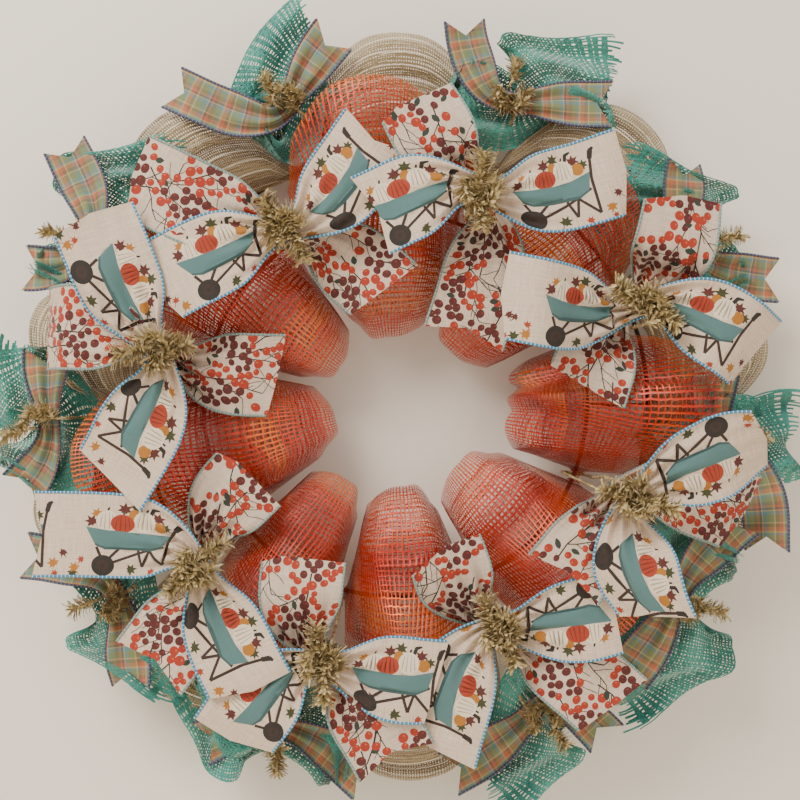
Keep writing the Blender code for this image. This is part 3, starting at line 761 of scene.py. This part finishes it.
# %% Burlap yarns
def burlap_finish():
    finish, tree, shader = shaded_material("dyed_jute_teal")
    at = add(tree, "ShaderNodeTexCoord").outputs["Object"]
    blotch = add(tree, "ShaderNodeTexNoise", {"Vector": at}, {"Scale": 30.0, "Detail": 3.0})
    fibre = add(tree, "ShaderNodeTexNoise", {"Vector": at}, {"Scale": 900.0, "Detail": 2.0})
    coarse = maths(tree, "MULTIPLY", blotch.outputs["Fac"], 0.6)
    fine = maths(tree, "MULTIPLY", fibre.outputs["Fac"], 0.4)
    both = maths(tree, "ADD", coarse, fine)
    fade = add(tree, "ShaderNodeValToRGB", {"Fac": both})
    fade.color_ramp.elements[0].position, fade.color_ramp.elements[0].color = 0.36, linear("#1A6D65")
    fade.color_ramp.elements[1].position, fade.color_ramp.elements[1].color = 0.62, linear("#56AE9D")
    tree.links.new(fade.outputs["Color"], shader.inputs["Base Color"])
    run = add(tree, "ShaderNodeAttribute", attribute_name="run").outputs["Fac"]
    twist = maths(tree, "SINE", maths(tree, "MULTIPLY", run, math.tau / 0.0011))
    bump = add(tree, "ShaderNodeBump", {"Height": twist}, {"Strength": 0.6, "Distance": 0.0003})
    tree.links.new(bump.outputs["Normal"], shader.inputs["Normal"])
    shader.inputs["Roughness"].default_value = 0.86
    shader.inputs["Sheen Weight"].default_value = 0.25
    return finish


# Dyed jute yarn, matt and hairy.
JUTE = burlap_finish()
BURLAP_W = 0.100
YARN_PITCH = 0.0025
YARN_W = 0.00168
YARN_WAVE = 0.0005  # how far a yarn rises and dips where it crosses the others
FRINGE = 0.004  # warp yarn left standing past the last weft yarn at each end


def lift_way(drape, s):
    return np.stack([np.interp(s, drape.at, drape.out[:, k]) for k in range(3)], 1)


def burlap(name, drape, rng):
    """Warp and weft yarns, each a slightly domed band, that wave over and under each other."""
    warps = int(drape.flat_width / YARN_PITCH)
    wefts = int((drape.length - 2 * FRINGE) / YARN_PITCH)
    points, faces, along = [], [], []

    def yarn(s, y, lift, is_warp):
        plump = YARN_W / 2 * (1 + 0.16 * np.sin((s + y) * 310 + rng.uniform(0, 6)))
        first, count = len(along), len(s)
        for side in (-1, 0, 1):
            at = (s, y + side * plump) if is_warp else (s + side * plump, y)
            dome = lift + (YARN_WAVE / 2 if side == 0 else 0.0)
            points.append(drape.place(*at) + dome[:, None] * lift_way(drape, s))
            along.extend(s if is_warp else y)
        for rail in (0, count):
            for k in range(first + rail, first + rail + count - 1):
                corners = (k, k + count, k + count + 1, k + 1)
                faces.append(corners if is_warp else corners[::-1])

    for i in range(warps):
        y0 = (i + 0.5) * drape.flat_width / warps - drape.flat_width / 2
        fray = rng.uniform(0.0, FRINGE), rng.uniform(0.0, FRINGE)
        s = np.arange(fray[0], drape.length - fray[1], YARN_PITCH / 2)
        ends = np.minimum(s - fray[0], drape.length - fray[1] - s)
        splay = np.clip(1 - ends / 0.008, 0, 1) * rng.uniform(-0.0022, 0.0022)
        wander = 0.0004 * np.sin(s * 90 + rng.uniform(0, 6))
        wave = YARN_WAVE * np.cos(np.pi * (s - FRINGE) / YARN_PITCH + np.pi * i)
        yarn(s, y0 + wander + splay, wave, True)
    for j in range(wefts):
        s0 = FRINGE + (j + 0.5) * (drape.length - 2 * FRINGE) / wefts
        over = rng.uniform(0, 0.002), rng.uniform(0, 0.002)
        y = np.arange(over[0] - drape.flat_width / 2, drape.flat_width / 2 - over[1], YARN_PITCH / 2)
        s = s0 + 0.0004 * np.sin(y * 70 + rng.uniform(0, 6))
        yarn(s, y, -YARN_WAVE * np.cos(np.pi * y / YARN_PITCH + np.pi * j), False)
    piece = mesh_piece(name, np.concatenate(points), faces, JUTE)
    run = piece.data.attributes.new("run", "FLOAT", "POINT")
    run.data.foreach_set("value", np.array(along, np.float32))
    piece.data.shade_smooth()
    return piece


for k in range(10):
    node = f"burlap_strip_{k + 1}"
    rng = random.Random(300 + k)
    drape = Drape(node, BURLAP_W, 5, seed=rng.uniform(0, 6), ripple=0.0035)
    drape.open_out(0.080, 0.040)
    piece = burlap(f"burlap_{k + 1}", drape, rng)
    shown_as(piece, [node])
yarn_area = sum(face.area for face in piece.data.polygons)
area_share = yarn_area / BURLAP_W / drape.length
print("last strip: yarn faces", len(piece.data.polygons), "area over flat", round(area_share, 2))

# %% [markdown]
# ## Plaid ribbon
#
# The narrow ribbon's plaid is woven, so its stripes run both ways and mix where they cross. The material
# takes the stripes from the cloth's own coordinates: one colour ramp across and the same one along, with the
# two averaged the way two dyed threads average in a weave.

# %% Plaid ribbons
PLAID_W = 0.036
PLAID_REPEAT = 0.030
DOVETAIL = ((12, 0), (12, 0))
STRIPES = ((0.0, "#B79C60"), (0.05, "#B4532B"), (0.15, "#6B5034"), (0.24, "#B79C60"), (0.28, "#66774A"),
           (0.47, "#3F7C86"), (0.57, "#B79C60"), (0.60, "#35324D"), (0.66, "#A9552F"), (0.72, "#6B5034"),
           (0.81, "#66774A"), (0.94, "#3F7C86"))


def plaid_finish():
    finish, tree, shader = shaded_material("woven_plaid_ribbon")
    uv = add(tree, "ShaderNodeTexCoord").outputs["UV"]
    parts = add(tree, "ShaderNodeSeparateXYZ", {"Vector": uv})
    sets = []
    for axis in ("X", "Y"):
        step = maths(tree, "FRACT", maths(tree, "MULTIPLY_ADD", parts.outputs[axis], 1 / PLAID_REPEAT, 0.5))
        ramp = add(tree, "ShaderNodeValToRGB", {"Fac": step})
        ramp.color_ramp.interpolation = "CONSTANT"
        while len(ramp.color_ramp.elements) < len(STRIPES):
            ramp.color_ramp.elements.new(0.5)
        for element, (position, colour) in zip(ramp.color_ramp.elements, STRIPES):
            element.position, element.color = position, linear(colour)
        sets.append(ramp.outputs["Color"])
    height, uneven = weave(tree, 0.5)
    blend = mixed(tree, 0.5, sets[0], sets[1])
    worn = mixed(tree, maths(tree, "MULTIPLY", uneven, 0.12), blend, "#F0E4CC")
    tree.links.new(worn, shader.inputs["Base Color"])
    bump = add(tree, "ShaderNodeBump", {"Height": height}, {"Strength": 0.5, "Distance": 0.0002})
    tree.links.new(bump.outputs["Normal"], shader.inputs["Normal"])
    shader.inputs["Roughness"].default_value = 0.74
    shader.inputs["Sheen Weight"].default_value = 0.2
    return finish


# Yarn-dyed cotton-look ribbon in harvest colours.
PLAID = plaid_finish()
# Navy overlock thread on its wired edges.
NAVY_EDGE = edge_wire("navy_edge_thread", "#474A63", "#7A7F92", 0.2)
for k in range(10):
    node = f"plaid_ribbon_{k + 1}"
    rng = random.Random(500 + k)
    drape = Drape(node, PLAID_W, 4, seed=rng.uniform(0, 6), ripple=0.003)
    made = printed_ribbon(f"plaid_{k + 1}", [], PLAID, NAVY_EDGE, drape, DOVETAIL)
    for piece in made:
        shown_as(piece, [node])
print("plaid ribbon faces:", len(made[0].data.polygons))

# %% [markdown]
# ## The mesh billows
#
# Deco mesh is a loose net of flat plastic strips, bought rolled. It is gathered at each tie and swells between
# ties into a lobe, with its long edges overlapping. So the sheet is laid round each lobe's section more than
# once, like a loose scroll: a tenth more for the tan mesh, which overlaps at the back, and half as much again
# for the orange, which overlaps towards the bows. Pleats start small at each tie and grow into a few soft
# billows at the lobe's middle. Cloth simulation could inflate each lobe, but gathers as tight as these
# tangle, and this way each pleat can be placed.


# %% Billows from the solid's sections
def sections_of(node):
    """The solid's sections across the ring, each as (degrees, 12 points of (radius, depth)), in order."""
    mesh = bpy.data.objects[node].data
    points = np.unique(np.round([tuple(v.co) for v in mesh.vertices], 6), axis=0)
    flat = points - np.array(CENTRE)
    degrees = np.degrees(np.arctan2(flat[:, 2], flat[:, 0])) % 360
    order = np.argsort(degrees)
    groups, current = [], [order[0]]
    for before, after in zip(order, order[1:]):
        if degrees[after] - degrees[before] > 0.03:
            groups.append(current)
            current = []
        current.append(after)
    groups.append(current)
    found = []
    for group in groups:
        rd = np.stack([np.hypot(flat[group, 0], flat[group, 2]), -flat[group, 1]], 1)
        middle = rd.mean(0)
        turn = np.arctan2(rd[:, 1] - middle[1], (rd[:, 0] - middle[0]) * np.ptp(rd[:, 1]) / np.ptp(rd[:, 0]))
        found.append((float(degrees[group].mean()), rd[np.argsort(turn)]))
    return found


def round_section(ring, turns):
    """Points at those turns (radians) on the smooth closed curve through a ring of evenly spaced points."""
    count = len(ring)
    parts = np.fft.fft(ring[:, 0] + 1j * ring[:, 1]) / count
    waves = np.fft.fftfreq(count, 1 / count)
    keep = np.abs(waves) <= count // 2 - 1
    return sum(p * np.exp(1j * w * turns) for p, w in zip(parts[keep], waves[keep]))


def catmull(values, at):
    """Rows of values (closed) read at fractional rows."""
    count = len(values)
    low = np.floor(at).astype(int)
    t = (at - low)[:, None]
    a, b, c, d = (values[(low + k) % count] for k in (-1, 0, 1, 2))
    return b + 0.5 * t * (c - a + t * (2 * a - 5 * b + 4 * c - d + t * (3 * (b - c) + d - a)))


MESH_WIDTH = {"orange_mesh": 0.533, "tan_mesh": 0.254}
# how many pleats next to the main set, how strong, and how far they drift along a lobe
PLEAT_SETS = ((1.0, 0.5, 1.2), (0.55, 0.8, 1.8), (1.7, 0.28, 2.4), (2.6, 0.14, 3.0))


def pleat_ridges(wind, lobe, pleats, rng):
    """How far each point stands out on the pleats of its lobe."""
    offset = np.zeros((len(lobe), len(wind)))
    for k in np.unique(lobe):
        pick = lobe == k
        share = np.linspace(0, 1, pick.sum())[:, None]
        for waves, strength, drift in PLEAT_SETS:
            a, b = rng.uniform(0, math.tau, 2)
            ridge = np.sin(pleats * waves * wind[None] + a + drift * np.sin(math.pi * share + b))
            offset[pick] += strength * ridge * (0.75 + 0.5 * np.sin(3.1 * wind[None] + b))
    return offset


def crinkles(rows, around, rng):
    """Small random unevenness, one draw for every two points each way with straight lines between."""
    draws = rng.normal(0, 1, (rows // 2 + 2, around // 2 + 2))
    wide = np.array([np.interp(np.arange(around) / 2, np.arange(draws.shape[1]), row) for row in draws])
    return np.array([np.interp(np.arange(rows) / 2, np.arange(wide.shape[0]), col) for col in wide.T]).T


def rounded_tip(radius, share, full, plump, plump_r):
    """A lobe's radii with its inner tip rounded, as sections that all aim at the middle make it too pointed."""
    inner, hub = radius.min(1), plump_r * 1.25
    tip = share * (share**2 + 0.03) ** (-plump / 2)
    rise = 1 - np.sqrt(np.clip(1 - 0.97 * np.clip(tip, -1, 1) ** 2, 0, 1))
    bulge = inner.min() + 0.27 * plump_r * rise
    wanted = inner + (np.minimum(inner, bulge) - inner) * np.clip(np.sqrt(full) * 2.4, 0, 1)
    stretch = ((hub - wanted) / np.maximum(hub - inner, 0.004))[:, None]
    return np.where(radius < hub, hub - (hub - radius) * stretch, radius)


def billow_sheet(name, node, per_section, around, turns, overlap_at, loose, pleats, deep, tie_deep,
                 plump, plump_r, finish, seed):
    """A scroll round the lobes, turns long, that overlaps round the angle overlap_at.

    Its inner layer lies up to loose metres in, and plump above 0 fills out the lobes inside plump_r.
    """
    found = sections_of(node)
    angles = np.array([f[0] for f in found])
    wind = np.linspace(0, math.tau * turns, around)
    phase = overlap_at - (turns - 1) * math.pi
    rows = np.array([round_section(ring, wind + phase) for _, ring in found])
    size = np.array([np.ptp(ring[:, 0]) for _, ring in found])
    rng = np.random.default_rng(seed)
    at = np.arange(0, len(found), 1 / per_section)
    unrolled = np.concatenate([angles, [angles[0] + 360]])
    degrees = np.interp(at, np.arange(len(found) + 1), unrolled)
    shape = np.stack([rows.real, rows.imag], 2).reshape(len(found), -1)
    shape = catmull(shape, at).reshape(len(at), around, 2)
    spread = np.interp(at, np.arange(len(found) + 1), np.append(size, size[0]))
    full = np.clip((spread - size.min()) / (size.max() - size.min()), 0, 1)
    middle = shape.mean(1, keepdims=True)
    small = full < 0.02
    lobe = np.cumsum(small & ~np.roll(small, 1))
    offset = pleat_ridges(wind, lobe, pleats, rng)
    amount = (tie_deep + (deep - tie_deep) * np.clip(full * 1.3, 0, 1))[:, None]
    reach = np.linalg.norm(shape - middle, axis=2)
    inner = loose * np.clip((wind[None] / math.tau - (turns - 1)), 0, 1) * full[:, None]
    scale = 1 - (0.65 * amount - amount * offset * 0.6 + inner) / np.maximum(reach, 0.004)
    shape = middle + (shape - middle) * scale[:, :, None]
    depth = shape[:, :, 1] + 0.0006 * crinkles(len(at), around, rng) * full[:, None]
    radius = shape[:, :, 0]
    turn = np.radians(np.repeat(degrees[:, None], around, 1))
    for k in np.unique(lobe):
        pick = np.flatnonzero(lobe == k)
        middle_turn = (degrees[pick[0]] + degrees[pick[-1]]) / 2
        half_turn = (degrees[pick[-1]] - degrees[pick[0]]) / 2
        share = (degrees[pick] - middle_turn)[:, None] / max(half_turn, 1)
        power = 1 - plump * np.clip((1.4 * plump_r - radius[pick]) / (0.5 * plump_r), 0, 1)
        moved = share * (share**2 + 0.03) ** ((power - 1) / 2)
        turn[pick] = np.radians(middle_turn + half_turn * moved)
        if plump:
            radius[pick] = rounded_tip(radius[pick], share[:, 0], full[pick], plump, plump_r)
    points = np.stack([radius * np.cos(turn), -depth, radius * np.sin(turn)], 2) + np.array(CENTRE)
    index = np.arange(len(at) * around).reshape(len(at), around)
    after = np.roll(index, -1, axis=0)
    faces = np.stack([index[:, :-1], index[:, 1:], after[:, 1:], after[:, :-1]], 2).reshape(-1, 4)
    length_u = np.cumsum(np.linalg.norm(np.roll(points, -1, 0) - points, axis=2).mean(1))
    flat_v = wind / wind[-1]
    piece = mesh_piece(name, points.reshape(-1, 3), faces, finish)
    layer = piece.data.uv_layers.new(name="UVMap")
    corner = np.empty(len(piece.data.loops), np.int32)
    piece.data.loops.foreach_get("vertex_index", corner)
    width = MESH_WIDTH[node]
    uv = np.stack([np.repeat(length_u, around), np.tile(flat_v * width, len(at))], 1)
    layer.data.foreach_set("uv", uv[corner].astype(np.float32).ravel())
    # how far each point stands out on its pleat, kept as 'ridge' so that the mesh materials paint shade into
    # the folds and light onto the ridges
    ridge = np.clip(0.5 + 0.35 * offset, 0, 1).ravel()
    piece.data.attributes.new("ridge", "FLOAT", "POINT").data.foreach_set("value", ridge.astype(np.float32))
    area = sum(f.area for f in piece.data.polygons)
    return piece, width, area / width


# %% [markdown]
# ## Deco mesh materials
#
# Both meshes are a grid of strips with holes between. The grid comes from the UV map: strips cover part of
# each pitch, and where neither set covers, the material is see-through. Orange mesh has flat strips one way
# and narrower, partly metallic ones the other. On both, shade and light are painted into the colour: darker,
# and on the orange redder, down in the pleats' folds, and lighter on their ridges, with random patches of tone
# mixed in. Tan mesh is matt and jute-look, with cream stripes.


# %% Mesh materials
def net_finish(name, pitch, covers, low, mid, high, metal_share, stripe=None, rough=0.38):
    finish, tree = blank_material(name)
    end = add(tree, "ShaderNodeOutputMaterial")
    uv = add(tree, "ShaderNodeTexCoord").outputs["UV"]
    parts = add(tree, "ShaderNodeSeparateXYZ", {"Vector": uv})
    jitter = add(tree, "ShaderNodeTexNoise", {"Vector": uv}, {"Scale": 260.0, "Detail": 1.0})
    strips, profiles = [], []
    for axis, cover, step in (("X", covers[0], pitch[0]), ("Y", covers[1], pitch[1])):
        pitches = maths(tree, "DIVIDE", parts.outputs[axis], step)
        along = maths(tree, "MULTIPLY_ADD", jitter.outputs["Fac"], 0.5, pitches)
        off_middle = maths(tree, "ABSOLUTE", maths(tree, "SUBTRACT", maths(tree, "FRACT", along), 0.5))
        away = maths(tree, "MULTIPLY", off_middle, 2)
        strips.append(maths(tree, "LESS_THAN", away, cover))
        profiles.append(maths(tree, "SUBTRACT", 1.0, away))
    cover = maths(tree, "MAXIMUM", strips[0], strips[1])
    # painted shade and light: the ramp gives the pleats' folds the low colour and their ridges the high one,
    # with random patches of tone from the cloud noise mixed in
    ridge = add(tree, "ShaderNodeAttribute", attribute_name="ridge").outputs["Fac"]
    cloud = add(tree, "ShaderNodeTexNoise", {"Vector": uv}, {"Scale": 22.0, "Detail": 3.0})
    height, patch = maths(tree, "MULTIPLY", ridge, 0.65), maths(tree, "MULTIPLY", cloud.outputs["Fac"], 0.38)
    place = maths(tree, "ADD", height, patch)
    ramp = add(tree, "ShaderNodeValToRGB", {"Fac": place})
    ramp.color_ramp.elements[0].position, ramp.color_ramp.elements[0].color = 0.24, linear(low)
    ramp.color_ramp.elements[1].position, ramp.color_ramp.elements[1].color = 0.84, linear(high)
    ramp.color_ramp.elements.new(0.5).color = linear(mid)
    colour = ramp.outputs["Color"]
    if stripe:
        colour_2, stripe_pitch, stripe_share = stripe
        step = maths(tree, "FRACT", maths(tree, "DIVIDE", parts.outputs["Y"], stripe_pitch))
        on = maths(tree, "LESS_THAN", step, stripe_share)
        colour = mixed(tree, maths(tree, "MULTIPLY", on, 0.85), colour, colour_2)
    shader = add(tree, "ShaderNodeBsdfPrincipled", {"Base Color": colour},
                 {"Roughness": rough, "Specular IOR Level": 0.5})
    bump = add(tree, "ShaderNodeBump", {"Height": maths(tree, "MAXIMUM", profiles[0], profiles[1])},
               {"Strength": 0.7, "Distance": 0.0004})
    tree.links.new(bump.outputs["Normal"], shader.inputs["Normal"])
    tree.links.new(maths(tree, "MULTIPLY", strips[1], metal_share), shader.inputs["Metallic"])
    clear = add(tree, "ShaderNodeBsdfTransparent")
    mix = add(tree, "ShaderNodeMixShader")
    tree.links.new(cover, mix.inputs[0])
    tree.links.new(clear.outputs[0], mix.inputs[1])
    tree.links.new(shader.outputs[0], mix.inputs[2])
    tree.links.new(mix.outputs[0], end.inputs["Surface"])
    return finish


# Orange polypropylene mesh with gold metallic thread. Its deep red is painted shade down in the folds, and its
# pale orange is painted light on the ridges.
ORANGE_NET = net_finish("orange_deco_mesh", (0.0030, 0.0032), (0.33, 0.17),
                        "#8E1404", "#C22F0E", "#D96A22", 0.45)
# Jute-look tan mesh with cream stripes. Its dark brown is painted shade down in the folds, and its light tan is
# painted light on the ridges.
TAN_NET = net_finish("jute_deco_mesh", (0.0019, 0.0024), (0.48, 0.34),
                     "#6E5A3F", "#94805B", "#B5A07A", 0.0, ("#F0E4CC", 0.0085, 0.11), 0.8)
orange, flat_w, flat_l = billow_sheet(
    "orange_billows", "orange_mesh", per_section=9, around=150, turns=1.55, overlap_at=0.8, loose=0.014,
    pleats=6, deep=0.0075, tie_deep=0.0028, plump=0.68, plump_r=0.135, finish=ORANGE_NET, seed=7
)
shown_as(orange, ["orange_mesh"])
print("orange billows:", len(orange.data.polygons), "flat length", round(flat_l, 3))
tan, flat_w, flat_l = billow_sheet(
    "tan_billows", "tan_mesh", per_section=7, around=84, turns=1.1, overlap_at=4.7, loose=0.0035,
    pleats=5, deep=0.0060, tie_deep=0.0025, plump=0.0, plump_r=0.1, finish=TAN_NET, seed=11
)
shown_as(tan, ["tan_mesh"])
print("tan billows:", len(tan.data.polygons), "flat length", round(flat_l, 3))

# %% [markdown]
# ## Straw-covered ties
#
# Each tie is a stem wrapped in dry husk. Its free ends are tufts of hundreds of curled blades. One blade is
# modelled with a few faces, and a modifier tree stands copies of it along the stem: it turns each to the
# stem's direction, spins it, tilts it outwards and changes its size by fixed-seed random values. The inputs
# say how close together the blades stand and how far they tilt, so the legs and the tufts use the same tree.


# %% Ties
def tie_path(node):
    """The middles of a tie solid's sections from end to end, and their radii. Each section has five corners."""
    mesh = bpy.data.objects[node].data
    raw = np.round([tuple(v.co) for v in mesh.vertices], 6)
    points, index = np.unique(raw, axis=0, return_inverse=True)
    index = index.reshape(-1)
    mesh.calc_loop_triangles()
    tris = [tuple(index[v] for v in t.vertices) for t in mesh.loop_triangles]
    tris = [t for t in tris if len(set(t)) == 3]
    normals = []
    for a, b, c in tris:
        n = np.cross(points[b] - points[a], points[c] - points[a])
        normals.append(n / max(np.linalg.norm(n), 1e-12))
    by_edge = {}
    for k, t in enumerate(tris):
        for a, b in ((t[0], t[1]), (t[1], t[2]), (t[2], t[0])):
            by_edge.setdefault(frozenset((int(a), int(b))), []).append(k)
    near = {}
    for edge in by_edge:
        a, b = edge
        near.setdefault(a, set()).add(b)
        near.setdefault(b, set()).add(a)
    ends = []
    for k, t in enumerate(tris):
        flat = [k]
        for a, b in ((t[0], t[1]), (t[1], t[2]), (t[2], t[0])):
            beside = by_edge[frozenset((int(a), int(b)))]
            flat += [o for o in beside if o != k and normals[o] @ normals[k] > 0.99999]
        corners = {int(v) for f in flat for v in tris[f]}
        if len(flat) == 3 and len(corners) == 5:
            ends.append(corners)
    for ring in ends:
        seen, rings = set(ring), [ring]
        while ring:
            ring = {n for v in ring for n in near[v]} - seen
            seen |= ring
            rings.append(ring)
        rings.pop()
        if all(len(r) == 5 for r in rings):
            break
    rows = [points[list(r)] for r in rings]
    middles = np.array([r.mean(0) for r in rows])
    radii = np.array([np.linalg.norm(r - m, axis=1).mean() for r, m in zip(rows, middles)])
    return middles, radii


# a blade's height, half its width and how far it has curled over, in millimetres
BLADE_ROWS = ((0, 0.6, 0), (2.4, 0.9, 0.1), (5.2, 0.9, 0.4), (8.0, 0.65, 1.1))


def blade(name, finish):
    """One husk blade along Z, 8 mm long and bluntly cut."""
    points, faces = [], []
    for k, (height, half, over) in enumerate(BLADE_ROWS):
        for across, hollow in ((-half, 0.00012), (0, -0.00012), (half, 0.00012)):
            points.append((across / 1000, over / 1000 + hollow, height / 1000))
        if k:
            a = 3 * k
            faces += [(a - 3, a - 2, a + 1, a), (a - 2, a - 1, a + 2, a + 1)]
    piece = mesh_piece(name, points, faces, finish)
    piece.hide_render = True
    return piece


def husk_finish():
    finish, tree, shader = shaded_material("dry_corn_husk")
    at = add(tree, "ShaderNodeTexCoord").outputs["Object"]
    patch = add(tree, "ShaderNodeTexNoise", {"Vector": at}, {"Scale": 260.0, "Detail": 2.0})
    ramp = add(tree, "ShaderNodeValToRGB", {"Fac": patch.outputs["Fac"]})
    ramp.color_ramp.elements[0].position, ramp.color_ramp.elements[0].color = 0.34, linear("#8A7748")
    ramp.color_ramp.elements[1].position, ramp.color_ramp.elements[1].color = 0.66, linear("#E3D3A6")
    ramp.color_ramp.elements.new(0.5).color = linear("#C2AE7C")
    tree.links.new(ramp.outputs["Color"], shader.inputs["Base Color"])
    shader.inputs["Roughness"].default_value = 0.7
    shader.inputs["Sheen Weight"].default_value = 0.1
    return finish


def tuft_tree():
    tree = bpy.data.node_groups.new("husk_along_stem", "GeometryNodeTree")
    face = tree.interface
    face.new_socket("Geometry", in_out="INPUT", socket_type="NodeSocketGeometry")
    face.new_socket("Blade", in_out="INPUT", socket_type="NodeSocketObject")
    for label, start in (("Spacing", 0.0004), ("Tilt", 0.7), ("Tilt Spread", 0.4), ("Size", 1.0)):
        face.new_socket(label, in_out="INPUT", socket_type="NodeSocketFloat").default_value = start
    face.new_socket("Seed", in_out="INPUT", socket_type="NodeSocketInt")
    face.new_socket("Material", in_out="INPUT", socket_type="NodeSocketMaterial")
    face.new_socket("Geometry", in_out="OUTPUT", socket_type="NodeSocketGeometry")
    start = add(tree, "NodeGroupInput")
    curve = add(tree, "GeometryNodeMeshToCurve", {"Mesh": start.outputs["Geometry"]})
    steps = add(tree, "GeometryNodeCurveToPoints",
                {"Curve": curve.outputs["Curve"], "Length": start.outputs["Spacing"]}, mode="LENGTH")

    def chance(low, high, seed):
        node = add(tree, "FunctionNodeRandomValue", data_type="FLOAT")
        for value, socket in ((low, 2), (high, 3)):
            if isinstance(value, float):
                node.inputs[socket].default_value = value
            else:
                tree.links.new(value, node.inputs[socket])
        shift = add(tree, "ShaderNodeMath", {0: start.outputs["Seed"]}, {1: float(seed)}, operation="ADD")
        tree.links.new(shift.outputs[0], node.inputs["Seed"])
        return node.outputs[1]

    aimed = add(tree, "FunctionNodeAlignRotationToVector", {"Vector": steps.outputs["Tangent"]}, axis="Z")
    spin = add(tree, "FunctionNodeAxisAngleToRotation",
               {"Angle": chance(0.0, math.tau, 1)}, {"Axis": (0, 0, 1)})
    spun = add(tree, "FunctionNodeRotateRotation",
               {"Rotation": aimed.outputs[0], "Rotate By": spin.outputs[0]}, rotation_space="LOCAL")
    low = maths(tree, "SUBTRACT", start.outputs["Tilt"], start.outputs["Tilt Spread"])
    high = maths(tree, "ADD", start.outputs["Tilt"], start.outputs["Tilt Spread"])
    tilt = add(tree, "FunctionNodeAxisAngleToRotation", {"Angle": chance(low, high, 2)}, {"Axis": (-1, 0, 0)})
    tilted = add(tree, "FunctionNodeRotateRotation",
                 {"Rotation": spun.outputs[0], "Rotate By": tilt.outputs[0]}, rotation_space="LOCAL")
    size = maths(tree, "MULTIPLY", chance(0.6, 1.15, 3), start.outputs["Size"])
    shape = add(tree, "GeometryNodeObjectInfo", {"Object": start.outputs["Blade"]})
    copies = add(tree, "GeometryNodeInstanceOnPoints", {"Points": steps.outputs["Points"],
                 "Instance": shape.outputs["Geometry"], "Rotation": tilted.outputs[0], "Scale": size})
    plain = add(tree, "GeometryNodeRealizeInstances", {"Geometry": copies.outputs["Instances"]})
    dyed = add(tree, "GeometryNodeSetMaterial",
               {"Geometry": plain.outputs["Geometry"], "Material": start.outputs["Material"]})
    end = add(tree, "NodeGroupOutput")
    tree.links.new(dyed.outputs["Geometry"], end.inputs["Geometry"])
    return tree


# Dry husk, straw-coloured with browner blades.
HUSK = husk_finish()
HUSK_TREE = tuft_tree()
BLADE = blade("husk_blade", HUSK)


def line_piece(name, lines):
    points, edges = [], []
    for line in lines:
        first = len(points)
        points += [tuple(p) for p in line]
        edges += [(k, k + 1) for k in range(first, len(points) - 1)]
    mesh = bpy.data.meshes.new(name)
    mesh.from_pydata(points, edges, [])
    piece = bpy.data.objects.new(name, mesh)
    bpy.context.scene.collection.objects.link(piece)
    return piece


CURL_R = 0.0125
TIE_STEP = 0.0015  # between points along a tie
STEM_R = 0.0012


def curl(middle, start, turn):
    """A free end curled up in front of the knot, as a flat coil seen from the front."""
    angles = start + np.linspace(0, turn, 40)
    r = CURL_R * np.linspace(1.0, 0.8, 40)
    return middle + np.stack([r * np.cos(angles), -0.004 * np.linspace(0, 1, 40), r * np.sin(angles)], 1)


# each kind's count, where its tufts start in sections from its ends, how far they reach, their blades' size
# and how far the curled end turns
TIE_KINDS = (("outer", 10, 5, 0.020, 1.15, 180), ("inner", 8, 5, 0.034, 1.4, 250))
for kind, count, tuft_points, tuft_reach, tuft_size, turn in TIE_KINDS:
    for k in range(count):
        node = f"{kind}_tie_{k + 1}"
        middles, radii = tie_path(node)
        steps = np.concatenate([[0], np.cumsum(np.linalg.norm(np.diff(middles, axis=0), axis=1))])
        fine = np.arange(0, steps[-1], TIE_STEP)
        dense = smoothed(np.stack([np.interp(fine, steps, middles[:, a]) for a in range(3)], 1), 2)
        cut_a, cut_b = np.searchsorted(fine, [steps[tuft_points], steps[-tuft_points - 1]])
        reach = int(tuft_reach / TIE_STEP)
        knot = (dense[cut_a] + dense[cut_b]) / 2
        coil = curl(knot + np.array([0, -0.002, 0]), 2.4 * k, math.radians(turn))
        start_at = max(cut_a - reach, 0)
        stem = threads(f"{node}_stem", [dense[start_at + 2 : cut_b + reach - 2], coil], STEM_R, 6, HUSK)
        free_ends = [dense[cut_a:start_at:-1], dense[cut_b : cut_b + reach], coil]
        tufts = line_piece(f"{node}_tuft", free_ends)
        made_plain(tufts, HUSK_TREE, {"Blade": BLADE, "Spacing": 0.00015, "Tilt": 1.0, "Tilt Spread": 0.42,
                                      "Size": tuft_size, "Seed": 10 * k, "Material": HUSK})
        legs = line_piece(f"{node}_legs", [dense[cut_a : cut_b + 1]])
        made_plain(legs, HUSK_TREE, {"Blade": BLADE, "Spacing": 0.0007, "Tilt": 0.28, "Tilt Spread": 0.2,
                                     "Size": 0.42, "Seed": 10 * k + 5, "Material": HUSK})
        for piece in (stem, tufts, legs):
            piece.data.shade_smooth()
            shown_as(piece, [node])
bpy.data.objects.remove(BLADE, do_unlink=True)
print("last tie: sections", len(middles), "faces", [len(piece.data.polygons) for piece in (stem, tufts, legs)])

# %% [markdown]
# ## The wire form
#
# The form is the solid itself: two wire rings and their rungs are already round bars. It only gets its real
# finish, brown enamel over steel, worn brighter in small patches.

# %% Wire form finish
# Brown baked enamel on steel wire.
enamel, tree, shader = shaded_material("brown_enamelled_steel")
at = add(tree, "ShaderNodeTexCoord").outputs["Object"]
wear = add(tree, "ShaderNodeTexNoise", {"Vector": at}, {"Scale": 140.0, "Detail": 4.0})
worn_bright = maths(tree, "POWER", wear.outputs["Fac"], 5.0)
tree.links.new(mixed(tree, worn_bright, "#3B2A1E", "#8C8078"), shader.inputs["Base Color"])
tree.links.new(maths(tree, "MULTIPLY_ADD", wear.outputs["Fac"], 0.3, 0.25), shader.inputs["Roughness"])
shader.inputs["Metallic"].default_value = 0.3
form = bpy.data.objects["wire_form"]
form.data.materials.clear()
form.data.materials.append(enamel)
print("wire form finish:", form.data.materials[0].name)
